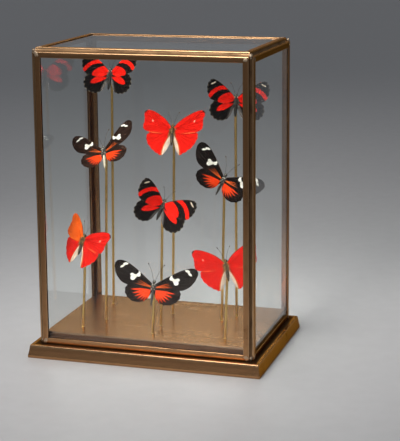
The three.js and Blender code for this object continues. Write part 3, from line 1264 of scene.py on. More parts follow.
KINDS = {
    Kind.PLAIN_RED: KindPlan(
        Slot.RED,
        fore=WingPlan(
            (
                (0.8, -1.2), (1.2, 3.2), (8.4, 11.1), (18.4, 17.2), (26.2, 20), (31, 19.8), (32.6, 17),
                (31.4, 10.5), (31.6, 4.5), (30.2, 0.6), (22, -2.2), (11, -2.6),
            ),
            FORE_HUB, veins=(3.6, 9.9, 10), bow=0.9, scallop=0.012, lift=FORE_LIFT,
        ),
        hind=WingPlan(
            (
                (0.8, 1.5), (9, 3), (20, 1.5), (26.2, -2.2), (27, -7.2), (24.2, -13.2), (18.8, -18.6),
                (13.2, -22.2), (9.8, -23.6), (6.9, -21.2), (4.2, -16.4), (1.9, -10.5), (0.6, -4),
            ),
            HIND_HUB, veins=(2.4, 9.0, 9), bow=1.1, scallop=0.02, gutter=0.45,
        ),
        thorax=2.3, abdomen=1.7, tail=14, antenna=15, hair_tone=0.25, hair_length=1.9,
        pale_tufts=((0.0, -1.3, 5.6), (-1.5, -1.6, 3.4), (1.5, -1.6, 3.4)),
    ),
    Kind.RAYED: KindPlan(
        Slot.RAYED,
        fore=WingPlan(
            (
                (0.8, -1.2), (1.2, 2.8), (8.6, 9.2), (18.4, 17), (26.4, 22), (32.6, 23.8), (36.6, 22.4),
                (38, 18.4), (36.4, 12.2), (33, 6.6), (28, 2.6), (18.4, 0), (9, -1.4),
            ),
            FORE_HUB, veins=(4.2, 10.8, 10), bow=1.0, scallop=0.006, lift=FORE_LIFT,
        ),
        hind=WingPlan(
            (
                (0.8, 1.5), (8, 3.4), (17, 3.2), (23.6, 0.8), (26.2, -3.7), (25.2, -8.6), (21, -12.8),
                (15, -14.9), (8.8, -14.2), (4.4, -11), (1.8, -6), (0.6, -2.5),
            ),
            HIND_HUB, veins=(3.0, 9.2, 8), bow=0.9, scallop=0.022,
        ),
        thorax=2.1, abdomen=1.3, tail=17.5, antenna=19, hair_tone=0.06, hair_length=1.1,
        pale_tufts=(
            (0.0, -1.2, 5.8), (-0.9, -1.9, 2.6), (0.9, -1.9, 2.6), (0.0, -2.1, 0.4),
            (-1.4, -1.2, -1.6), (1.4, -1.2, -1.6),
        ),
    ),
    Kind.BANDED: KindPlan(
        Slot.BANDED,
        fore=WingPlan(
            (
                (0.8, -1.2), (1.2, 3.2), (9, 10.8), (18, 17.4), (24.4, 20.4), (28, 20), (30.6, 16),
                (31.1, 10.4), (29.6, 5), (26.6, 0.9), (17, -2), (8, -2.4),
            ),
            FORE_HUB, veins=(3.4, 9.9, 9), bow=0.8, scallop=0.016, lift=FORE_LIFT,
        ),
        hind=WingPlan(
            (
                (0.8, 1.5), (9, 3), (18, 2.2), (24.4, -1.2), (27, -7.3), (25.8, -13), (21.8, -17.4),
                (16.6, -19.3), (10.6, -18.7), (5.8, -15.4), (2.6, -9), (0.6, -3.5),
            ),
            HIND_HUB, veins=(2.7, 9.2, 9), bow=1.3, scallop=0.024, gutter=0.3,
        ),
        thorax=2.4, abdomen=1.8, tail=15, antenna=14, hair_tone=0.04, hair_length=1.5,
        pale_tufts=((0.0, -1.2, 5.6), (-1.2, -1.6, 4.2), (1.2, -1.6, 4.2)),
    ),
}


@dataclass(frozen=True)
class Perch:
    """Where a butterfly is set: its rod's foot, its thorax, its turns, its wings' angles, its ageing and a
    painted glow on a forewing.

    turn is about the upright, forward and sideways, and lifted and swept are of the left and right wings.
    All are in degrees.
    """

    place: str
    kind: Kind
    foot: Point
    at: Triple
    turn: Triple
    scale: float
    lifted: Point
    swept: Point
    fade: float = 0.0
    warm: float = 0.0
    abdomen_tone: float = 0.02

    def frame(self) -> Array:
        """Work out the butterfly's axes.

        Returns:
            The axes, as columns.
        """
        about, lean, roll = (math.radians(angle) for angle in self.turn)
        turn = Matrix.Rotation(about, 3, "Z") @ Matrix.Rotation(lean, 3, "X") @ Matrix.Rotation(roll, 3, "Y")
        return np.array(turn)

    def world(self, local: Array) -> Array:
        """Move points from the butterfly's axes to the case's."""
        return np.asarray(self.at) + np.asarray(local, float) @ self.frame().T


PERCHES = (
    Perch(
        "back_left", Kind.BANDED, foot=(-70.5, 38.6), at=(-67.9, 35.6, 256.5), turn=(-6, -22, 0),
        scale=0.99, lifted=(9, 12), swept=(-1, 5),
    ),
    Perch(
        "back_right", Kind.BANDED, foot=(61.5, 30.1), at=(62.2, 27.1, 236.2), turn=(20, -2, 3),
        scale=0.97, lifted=(17, 8), swept=(3, 0),
    ),
    Perch(
        "middle_left", Kind.RAYED, foot=(-58.5, -13.8), at=(-56.1, -16.8, 189.4), turn=(-20, -34, -26),
        scale=0.92, lifted=(12, -4), swept=(7, 12), fade=0.32, abdomen_tone=0.85,
    ),
    Perch(
        "back_centre", Kind.PLAIN_RED, foot=(-1.5, 21.2), at=(1.4, 18.2, 206.2), turn=(-8, -25, -4),
        scale=1.01, lifted=(2, 3), swept=(3, 0),
    ),
    Perch(
        "middle_right", Kind.RAYED, foot=(51.5, 12.1), at=(54.7, 9.1, 163.2), turn=(-5, -3, 27),
        scale=1.0, lifted=(24, 11), swept=(3, -6), fade=0.05,
    ),
    Perch(
        "middle_centre", Kind.BANDED, foot=(-0.5, -19.4), at=(4, -22.4, 141.8), turn=(14, -4, 23),
        scale=1.03, lifted=(34, 25), swept=(0, -8),
    ),
    # Its left forewing gets a painted orange glow.
    Perch(
        "front_left", Kind.PLAIN_RED, foot=(-71.5, -42.5), at=(-68.2, -45.6, 108.5), turn=(-27, -24, 7),
        scale=1.03, lifted=(-10, 4), swept=(1, -9), warm=0.9,
    ),
    Perch(
        "front_centre", Kind.RAYED, foot=(0, -45.2), at=(2.6, -48.2, 68.9), turn=(5, -25, 4),
        scale=1.04, lifted=(2, 3), swept=(-4, -5), fade=0.08,
    ),
    Perch(
        "front_right", Kind.PLAIN_RED, foot=(70, -42), at=(72.6, -44.6, 93.2), turn=(3, -10, -10),
        scale=0.94, lifted=(4, 12), swept=(-1, 0),
    ),
)

ROD_RADIUS = 1.25
ROD_SET_BACK = 4.1
ROD_BELOW = 1.2


class Coat(Enum):
    """The order of a butterfly's materials."""

    FORE_TOP = 0
    FORE_UNDER = 1
    HIND_TOP = 2
    HIND_UNDER = 3
    FUR = 4
    SKIN = 5
    EYE = 6
    HORN = 7
    GLUE = 8


FORE_COATS = (Coat.FORE_TOP, Coat.FORE_UNDER)
HIND_COATS = (Coat.HIND_TOP, Coat.HIND_UNDER)


@dataclass(frozen=True)
class SetWing:
    """One wing as it is set: raised to the front and turned to the head by its angles, in degrees."""

    perch: Perch
    plan: WingPlan
    side: Side
    angles: Point
    coats: tuple[Coat, Coat]
    warm: float = 0.0
    vein_rings: int = 26
    vein_radii: Point = (0.27, 0.08)
    vein_sides: int = 7

    def place(self, flat: Array, rise: Array) -> Array:
        """Move points of the flat right wing to where the wing is set.

        Args:
            flat: The flat points.
            rise: Their heights over the wing.

        Returns:
            The points in the case, as rows.
        """
        way = self.side.value
        tilt, sweep = math.radians(-way * self.angles[0]), math.radians(way * self.angles[1])
        sized = flat * self.perch.scale
        hinge = way * WING_HINGE[0]
        x = way * sized[..., 0] - hinge
        y = sized[..., 1] - WING_HINGE[1]
        out = x * math.cos(sweep) - y * math.sin(sweep) + hinge
        ahead = x * math.sin(sweep) + y * math.cos(sweep) + WING_HINGE[1]
        front = -(rise + self.plan.lift)
        across = out * math.cos(tilt) - front * math.sin(tilt)
        deep = out * math.sin(tilt) + front * math.cos(tilt)
        return self.perch.world(np.stack([across, deep, ahead], axis=-1).reshape(-1, 3))

    def build(self, parts: MeshParts, draws: np.random.Generator) -> None:
        """Add the wing as a thin closed sheet, and a forewing's leading vein.

        Args:
            parts: The butterfly to add to.
            draws: Random numbers for the ripples.
        """
        plan = self.plan
        grid = plan.grid()
        rows, columns = grid["ring"].shape
        count = rows * columns
        rise = plan.rise(grid, draws)
        layers = [self.place(grid["flat"], rise + height) for height in (SHEET / 2, -SHEET / 2)]
        centre = self.place(np.array([plan.hub]), np.zeros(1))
        top = grid_faces(rows, columns, closed=True)
        top += [[(index + 1) % columns, index, 2 * count] for index in range(columns)]
        under = [[index if index == 2 * count else index + count for index in reversed(face)] for face in top]
        edge = np.arange(count - columns, count)
        after = np.roll(edge, -1)
        rim = np.stack([edge, edge + count, after + count, after], axis=1)[:, ::-1].tolist()
        faces = top + rim + under
        if self.side is Side.RIGHT:
            faces = [face[::-1] for face in faces]
        place = np.concatenate([grid["flat"], grid["ring"][:, :, None]], axis=2).reshape(-1, 3)
        fade = np.full_like(grid["far"], self.perch.fade)
        trim = np.stack([grid["number"], grid["vein"], fade], axis=2).reshape(-1, 3)
        upper, lower = (coat.value for coat in self.coats)
        parts.add(
            np.vstack([*layers, centre]), faces, [upper] * len(top + rim) + [lower] * len(under),
            wing_place=np.vstack([place, place, [[*plan.hub, 0.0]]]),
            wing_trim=np.vstack([trim, trim, [[0, 0, 0]]]), warm=self.warm,
        )
        if plan.lift > 0:
            self._leading_vein(parts)

    def _leading_vein(self, parts: MeshParts) -> None:
        """Add the stiff vein along a forewing's front edge.

        Args:
            parts: The butterfly to add to.
        """
        plan = self.plan
        along = np.linspace(1.2, plan.veins[0] + 0.6, self.vein_rings)
        flat = hermite(np.asarray(plan.outline, float), along)
        flat = flat + 0.15 * unit_rows(np.asarray(plan.hub) - flat)
        far = np.linalg.norm(flat - plan.hub, axis=1)
        longest = np.linalg.norm(plan.grid()["flat"] - np.asarray(plan.hub), axis=2).max()
        path = self.place(flat, -plan.bow * (far / longest) ** 2)
        points, faces = tube(path, np.linspace(*self.vein_radii, self.vein_rings), self.vein_sides)
        parts.add(points, faces, Coat.HORN.value, tone=0.15)


LEG = ((0.8, 1.2, 0), (2.2, 2.3, 1.1), (3.4, 3.2, 1.6), (3.3, 4.3, -1.2), (2.6, 5, -2.6))
HAIR_FACES = ([0, 1, 4, 3], [1, 2, 5, 4], [2, 0, 3, 5], [3, 4, 6], [4, 5, 6], [5, 3, 6], [2, 1, 0])


@dataclass
class Butterfly:
    """One dried butterfly: four wings, a furred body, antennae, legs and the dab of glue that holds it."""

    perch: Perch
    seed: int
    parts: MeshParts = field(default_factory=MeshParts)
    thorax_half: float = 4.2
    head_half: float = 1.5
    head_share: Point = (0.66, 0.64)
    head_at: Triple = (0, -0.2, 4.9)
    waist: float = 1.5
    segments: int = 8
    abdomen_rings: int = 57
    abdomen_sides: int = 22
    tongue_rings: int = 40
    antenna_root: float = 5.4
    antenna_rings: int = 41
    antenna_sides: int = 8
    leg: tuple[Triple, ...] = LEG
    leg_roots: Point = (1.0, -1.4)
    leg_rings: int = 19
    thin_sides: int = 7
    hair_radius: float = 0.075
    hair_droop: float = 0.16
    tuft_hairs: int = 26
    root_hairs: int = 70
    glue_rings: int = 12

    def __post_init__(self) -> None:
        """Look up the kind, size the head and start the random numbers."""
        self.plan = KINDS[self.perch.kind]
        self.head_radii = (*(self.plan.thorax * share for share in self.head_share), self.head_half)
        self.draws = np.random.default_rng(self.seed)

    def build(self, coats: list[Material]) -> bpy.types.Object:
        """Make the whole butterfly.

        Args:
            coats: Its materials, in the order of Coat.

        Returns:
            The object.
        """
        for side, lifted, swept in zip(Side, self.perch.lifted, self.perch.swept):
            # Only the left forewing gets the painted glow.
            warm = self.perch.warm if side is Side.LEFT else 0.0
            hind = SetWing(self.perch, self.plan.hind, side, (lifted, 0.0), HIND_COATS)
            fore = SetWing(self.perch, self.plan.fore, side, (lifted, swept), FORE_COATS, warm)
            for wing in (hind, fore):
                wing.build(self.parts, self.draws)
        self._body()
        self._head()
        self._legs()
        self._fur()
        self._glue()
        return self.parts.make(f"butterfly_{self.perch.place}.insect", coats, crease=50.0)

    def _add(self, shape: Shape, coat: Coat, tone: Any = 0.0) -> None:
        """Add a form given in the butterfly's own axes."""
        points, faces = shape
        self.parts.add(self.perch.world(points), faces, coat.value, tone=tone)

    def _round(self, radii: Triple, centre: Triple, rows: int, sides: int) -> Shape:
        """Make a lumpy rounded form with its poles along the body.

        Args:
            radii: Half sizes along the butterfly's axes.
            centre: Its middle.
            rows: How many rings it has.
            sides: How many points are in a ring.

        Returns:
            Its points and its faces.
        """
        pole = 0.12
        polar = np.linspace(pole, math.pi - pole, rows)[:, None]
        around = np.linspace(0, 2 * math.pi, sides, endpoint=False)[None, :]
        lump = 1 + 0.04 * np.sin(3 * around + 5 * polar + self.seed)
        x = lump * np.sin(polar) * np.cos(around)
        y = lump * np.sin(polar) * np.sin(around)
        z = np.broadcast_to(-np.cos(polar), x.shape)
        points = np.stack([x, y, z], axis=2).reshape(-1, 3) * radii + centre
        return points, capped_faces(rows, sides)

    def _body(self) -> None:
        """Add the thorax and the ringed abdomen."""
        plan = self.plan
        thorax = self._round((plan.thorax, plan.thorax, self.thorax_half), (0, 0, 0), rows=18, sides=26)
        self._add(thorax, Coat.FUR, plan.hair_tone * 0.6)
        down = np.linspace(0, 1, self.abdomen_rings)
        groove = np.exp(-(((down * self.segments + 0.5) % 1 - 0.5) / 0.13) ** 2)
        swell = 0.82 + 0.18 * np.sin(math.pi * np.clip(down * 1.2, 0, 1))
        taper = np.sqrt(np.clip(1 - down**3.2, 0.0, 1)) * swell
        radii = np.maximum(plan.abdomen * taper * (1 - 0.11 * groove), 0.12)
        sag = 0.1 + 0.9 * down**2
        z = -self.waist - down * (plan.tail - self.waist)
        path = np.stack([np.zeros(self.abdomen_rings), sag, z], axis=1)
        tone = np.clip(self.perch.abdomen_tone + 0.10 * groove, 0, 1)
        self._add(tube(path, radii, self.abdomen_sides), Coat.SKIN, np.repeat(tone, self.abdomen_sides))

    def _head(self) -> None:
        """Add the head with its tongue, its eyes, the feelers beside the mouth and the antennae."""
        tone, size = self.plan.hair_tone, self.plan.thorax
        self._add(self._round(self.head_radii, self.head_at, rows=12, sides=18), Coat.FUR, tone * 0.7)
        self._tongue()
        for side in Side:
            way = side.value
            eye_at = (way * size * 0.5, -size * 0.16, 5.2)
            self._add(self._round((size * 0.3, size * 0.36, 0.85), eye_at, rows=10, sides=14), Coat.EYE, 0.1)
            palp = smooth_path([(way * 0.35, -0.5, 5.8), (way * 0.42, -1.2, 6.5), (way * 0.4, -1.7, 7.4)], 8)
            self._add(tube(palp, np.linspace(0.3, 0.1, len(palp)), self.thin_sides), Coat.FUR, tone + 0.15)
            self._antenna(side)

    def _tongue(self) -> None:
        """Add the coiled tongue under the head."""
        turn = np.linspace(0, 3.6 * math.pi, self.tongue_rings)
        spread = np.linspace(1.0, 0.22, self.tongue_rings)
        y = 1.25 - spread * np.cos(turn)
        z = 5.5 + spread * np.sin(turn)
        coil = np.stack([np.zeros(self.tongue_rings), y, z], axis=1)
        self._add(tube(coil, np.linspace(0.15, 0.07, self.tongue_rings), 6), Coat.HORN, 0.2)

    def _antenna(self, side: Side) -> None:
        """Add a ringed antenna with a club at its tip.

        Args:
            side: Which side it is on.
        """
        way, reach, root, sides = side.value, self.plan.antenna, self.antenna_root, self.antenna_sides
        bend = (way * reach * 0.2, -reach * 0.1, root + reach * 0.5)
        tip = (way * reach * 0.42, -reach * 0.12, root + reach * 0.88)
        path = smooth_path([(way * 0.5, -0.4, root), bend, tip], self.antenna_rings - 1)
        along = np.linspace(0, 1, self.antenna_rings)
        club = 0.34 * np.exp(-(((along - 0.955) / 0.05) ** 2))
        ringed = 0.012 * np.sin(along * 2 * math.pi * 30)
        tone = 0.1 + 0.3 * (along > 0.97)
        self._add(tube(path, 0.15 - 0.04 * along + club + ringed, sides), Coat.HORN, np.repeat(tone, sides))

    def _legs(self) -> None:
        """Add the four walking legs, folded behind the body."""
        along = np.linspace(0, 1, self.leg_rings)
        knob = 0.06 * np.exp(-(((along - 0.5) / 0.05) ** 2))
        radii = 0.25 - 0.16 * along + knob
        for side in Side:
            for root in self.leg_roots:
                joints = [(side.value * x, y, root + z) for x, y, z in self.leg]
                path = smooth_path(joints, self.leg_rings - 1)
                self._add(tube(path, radii, self.thin_sides), Coat.HORN, 0.25)

    def _fur(self) -> None:
        """Add the hairs of the thorax, head, abdomen, pale tufts and wing roots."""
        plan, tone, length = self.plan, self.plan.hair_tone, self.plan.hair_length
        back = np.array([0, 0, -1.0])
        thorax = (plan.thorax, plan.thorax, self.thorax_half)
        self._hairs(520, thorax, (0, 0, 0), back * 0.9, (0.5 * length, length), tone, 0.22)
        self._hairs(150, self.head_radii, self.head_at, -back * 0.5, (0.35, 0.8), tone, 0.25)
        half = (plan.tail - self.waist) / 2
        abdomen = (plan.abdomen * 0.95, plan.abdomen * 0.95, half)
        middle = (0, 0.3, -self.waist - half)
        pale = max(tone, self.perch.abdomen_tone * 0.8)
        self._hairs(260, abdomen, middle, back * 1.6, (0.35, 0.9), pale, 0.2)
        for tuft in plan.pale_tufts:
            self._pale_tuft(tuft)
        for side in Side:
            self._wing_root(side)

    def _pale_tuft(self, middle: Triple) -> None:
        """Add a small tuft of pale hairs.

        Args:
            middle: Where it grows.
        """
        draws, count = self.draws, self.tuft_hairs
        root = np.asarray(middle) + draws.normal(0, 0.22, (count, 3))
        lean = np.array([0, -0.5, -0.6]) + draws.normal(0, 0.25, (count, 3))
        self._tufts(root, lean, draws.uniform(0.5, 1.0, count), draws.uniform(0.85, 1.0, count))

    def _wing_root(self, side: Side) -> None:
        """Add the long hairs over the roots of one side's wings.

        Args:
            side: Which side it is.
        """
        way, size, draws, count = side.value, self.plan.thorax, self.draws, self.root_hairs
        out = way * draws.uniform(size * 0.7, size * 1.05, count)
        root = np.stack([out, draws.uniform(-1.3, -0.2, count), draws.uniform(-4.5, 3.2, count)], axis=1)
        combed = np.full(count, way * 0.75)
        lean = np.stack([combed, draws.uniform(-0.15, 0.05, count), draws.uniform(-0.9, -0.1, count)], axis=1)
        tone = np.clip(self.plan.hair_tone + draws.normal(0.05, 0.2, count), 0, 1)
        self._tufts(root, lean, draws.uniform(0.9, 1.7, count) * self.plan.hair_length, tone)

    def _hairs(
        self, count: int, radii: Triple, centre: Triple, lie: Array, lengths: Point, tone: float,
        spread: float,
    ) -> None:
        """Add hairs over a rounded form.

        Args:
            count: How many hairs.
            radii: The form's half sizes.
            centre: The form's middle.
            lie: The way that the hairs are combed.
            lengths: The shortest and longest hair.
            tone: The mean tone, from dark to pale.
            spread: How much the tone varies.
        """
        draws = self.draws
        way = unit_rows(draws.normal(0, 1, (count, 3)))
        outward = unit_rows(way / np.asarray(radii))
        root = way * np.asarray(radii) * 0.97 + np.asarray(centre)
        lean = outward * 0.75 + lie + draws.normal(0, 0.22, (count, 3))
        length = draws.uniform(*lengths, count)
        self._tufts(root, lean, length, np.clip(draws.normal(tone, spread, count), 0, 1))

    def _tufts(self, root: Array, lean: Array, length: Array, tone: Array) -> None:
        """Add hairs as thin three-sided spikes that bend a little.

        Args:
            root: Where each hair starts.
            lean: Which way each hair grows.
            length: How long each hair is.
            tone: How pale each hair is.
        """
        count = len(root)
        ahead = unit_rows(lean)
        across = unit_rows(np.cross(ahead, self.draws.normal(0, 1, (count, 3))))
        beside = np.cross(ahead, across)
        droop = across * (self.hair_droop * length)[:, None]
        rows = []
        for part, radius in ((0.0, self.hair_radius), (0.55, self.hair_radius * 0.75)):
            middle = root + ahead * (length * part)[:, None] + droop * part**2
            for angle in (0.0, 2 * math.pi / 3, 4 * math.pi / 3):
                rows.append(middle + radius * (across * math.cos(angle) + beside * math.sin(angle)))
        rows.append(root + ahead * length[:, None] + droop)
        points = np.stack(rows, axis=1).reshape(-1, 3)
        faces = [[index + len(rows) * hair for index in face] for hair in range(count) for face in HAIR_FACES]
        self._add((points, faces), Coat.FUR, np.repeat(tone, len(rows)))

    def _glue(self) -> None:
        """Add the short peg and the dab of glue between the thorax and the rod."""
        depths = np.linspace(1.2, ROD_SET_BACK - 0.6, self.glue_rings)
        path = np.array([(0, y, -ROD_BELOW) for y in depths])
        along = np.linspace(0, 1, self.glue_rings)
        self._add(tube(path, 0.55 + 0.75 * along**3 + 0.35 * (1 - along) ** 3, 14), Coat.GLUE, 0.4)


@dataclass
class Rods:
    """The nine brass rods, each from the plate to the back of its butterfly."""

    sides: int = 24
    rings: int = 30
    sunk: float = 0.8
    foot_flare: float = 0.55
    flare_height: float = 1.1
    foot_rings: tuple[float, ...] = (0, 0.55, 0.8, 0.95, 1.15, 1.45, 1.9)
    past_peg: float = 1.2

    def build(self, perch: Perch, brass: Material) -> None:
        """Make one rod with a rounded top and a small fillet at its foot.

        Args:
            perch: The butterfly that it holds.
            brass: Its material.
        """
        plate_top = node_box("display_plate")[1][2]
        low = node_box(f"rod_{perch.place}")[0][2]
        top = perch.world(np.array([0.0, ROD_SET_BACK, -ROD_BELOW]))
        hold = np.array([*perch.foot, (low + plate_top) / 2])
        axis = (top - hold) / np.linalg.norm(top - hold)
        start = hold + axis * (plate_top - self.sunk - hold[2]) / axis[2]
        length = np.linalg.norm(top + axis * self.past_peg - start)
        dome_foot = length - ROD_RADIUS
        shaft = np.linspace(6, length - 2.4, self.rings)
        crown = dome_foot + ROD_RADIUS * np.sin(np.linspace(0, 0.98, 6) * math.pi / 2)
        stations = np.concatenate([self.foot_rings, shaft, crown])
        flare = self.foot_flare * np.clip(1 - (stations - self.sunk) / self.flare_height, 0, 1) ** 2.2
        dome = np.sqrt(np.clip(1 - np.clip((stations - dome_foot) / ROD_RADIUS, 0, 0.999) ** 2, 0, 1))
        radii = ROD_RADIUS * dome + np.minimum(flare, self.foot_flare)
        points, faces = tube(start + stations[:, None] * axis, radii, self.sides)
        around = np.tile(np.arange(self.sides) * 2 * math.pi * ROD_RADIUS / self.sides, len(stations))
        apart = np.full(len(points), perch.at[0] * 3)
        place = np.stack([np.repeat(stations, self.sides), around, apart], axis=1)
        edge = np.repeat(np.clip(np.where(dome < 0.95, 0.7, 0.0) + flare, 0, 1), self.sides)
        parts = MeshParts()
        parts.add(points, faces, bar_place=place, edge=edge)
        piece = parts.make(f"rod_{perch.place}.brass", [brass], crease=35.0)
        place_piece(piece, Slot.ROD, f"rod_{perch.place}")


@dataclass(frozen=True)
class FlatFrame:
    """A flat frame of four mitred bars, with its axes in the case."""

    right: Triple
    up: Triple
    out: Triple
    bars: tuple[str, str, str, str]

    def measure(self) -> tuple[Array, float, float, float]:
        """Measure the frame from its four solids.

        Returns:
            Its middle, its width, its height and its thickness.
        """
        low, high = node_box(*self.bars)
        size = high - low
        spans = [abs(float(np.dot(size, axis))) for axis in (self.right, self.up, self.out)]
        return (low + high) / 2, spans[0], spans[1], spans[2]

    def sides(self) -> list[tuple[str, float, float, float, float]]:
        """List the four bars.

        Returns:
            Each bar's name, its turn about the frame, the two places of its outer edge and its length.
        """
        _, width, height, _ = self.measure()
        half_turn = math.pi / 2
        places = [(0, 0, -height / 2, width), (half_turn, width / 2, 0, height)]
        places += [(math.pi, 0, height / 2, width), (-half_turn, -width / 2, 0, height)]
        return [(name, *place) for name, place in zip(self.bars, places)]

    def set(self, local: Array, turn: float, x: float, y: float) -> Array:
        """Move a bar's points (along, inward, up) to the case.

        Args:
            local: The bar's own points.
            turn: Its turn about the frame.
            x: Where its outer edge is, to the right.
            y: Where its outer edge is, upwards.

        Returns:
            The points in the case.
        """
        middle = self.measure()[0]
        along, inward, up = local.T
        across = x + along * math.cos(turn) - inward * math.sin(turn)
        rise = y + along * math.sin(turn) + inward * math.cos(turn)
        return middle + np.outer(across, self.right) + np.outer(rise, self.up) + np.outer(up, self.out)


def upright_bars(name: str) -> tuple[str, str, str, str]:
    """Name the four bars round an upright pane."""
    return (f"{name}_rail_bottom", f"{name}_post_right", f"{name}_rail_top", f"{name}_post_left")


LID_BARS = ("top_rail_front", "top_rail_right", "top_rail_back", "top_rail_left")
SKIRT_BARS = ("skirt_front", "skirt_right", "skirt_back", "skirt_left")
PANELS = {
    "front": FlatFrame((1, 0, 0), (0, 0, 1), (0, -1, 0), upright_bars("front")),
    "right": FlatFrame((0, 1, 0), (0, 0, 1), (1, 0, 0), upright_bars("right")),
    "back": FlatFrame((-1, 0, 0), (0, 0, 1), (0, 1, 0), upright_bars("back")),
    "left": FlatFrame((0, -1, 0), (0, 0, 1), (-1, 0, 0), upright_bars("left")),
    "top": FlatFrame((1, 0, 0), (0, 1, 0), (0, 0, 1), LID_BARS),
}
SKIRT = FlatFrame((1, 0, 0), (0, 1, 0), (0, 0, 1), SKIRT_BARS)


def corner_arc(centre: Point, radius: float, start: float, steps: int) -> list[Triple]:
    """Round a quarter turn of a section.

    Args:
        centre: The arc's middle.
        radius: Its radius.
        start: The angle that it starts at, in degrees.
        steps: How many stretches it has.

    Returns:
        Points as inward, up and 1 for a rubbed edge.
    """
    angles = np.radians(start + np.linspace(0, 90, steps + 1))
    return [(centre[0] + radius * math.cos(a), centre[1] + radius * math.sin(a), 1.0) for a in angles]


BAR_STATIONS = 33
GRAIN_STRIDE = 41.0


def mitred_bar(
    section: Array, length: float, gap: float, sway: float, seed: int,
) -> tuple[Array, list[list[int]], Array]:
    """Sweep a section along a bar whose ends are cut at 45 degrees.

    Args:
        section: Points as inward and up, turning left.
        length: The bar's outer length.
        gap: How far each end stays back from its mitre.
        sway: How far the bar wanders, as a hand-made one does.
        seed: Which bar it is.

    Returns:
        Points as along, inward and up, the faces, and each point's place for the metal's grain.
    """
    stations = np.sin(np.linspace(-1, 1, BAR_STATIONS) * math.pi / 2)
    reach = length / 2 - gap - section[:, 0]
    along = stations[:, None] * reach[None, :]
    still = (1 - stations**2)[:, None]
    inward = section[None, :, 0] + sway * still * wave(along, seed, 130.0)
    up = section[None, :, 1] + sway * still * wave(along, seed + 500, 90.0)
    points = np.stack([along, inward, up], axis=2).reshape(-1, 3)
    steps = np.linalg.norm(np.diff(section, axis=0, append=section[:1]), axis=1)
    round_it = np.broadcast_to(np.concatenate([[0], np.cumsum(steps)[:-1]]), along.shape)
    place = np.stack([along, round_it, np.full_like(along, seed * GRAIN_STRIDE)], axis=2)
    return points, capped_faces(len(stations), len(section)), place.reshape(-1, 3)


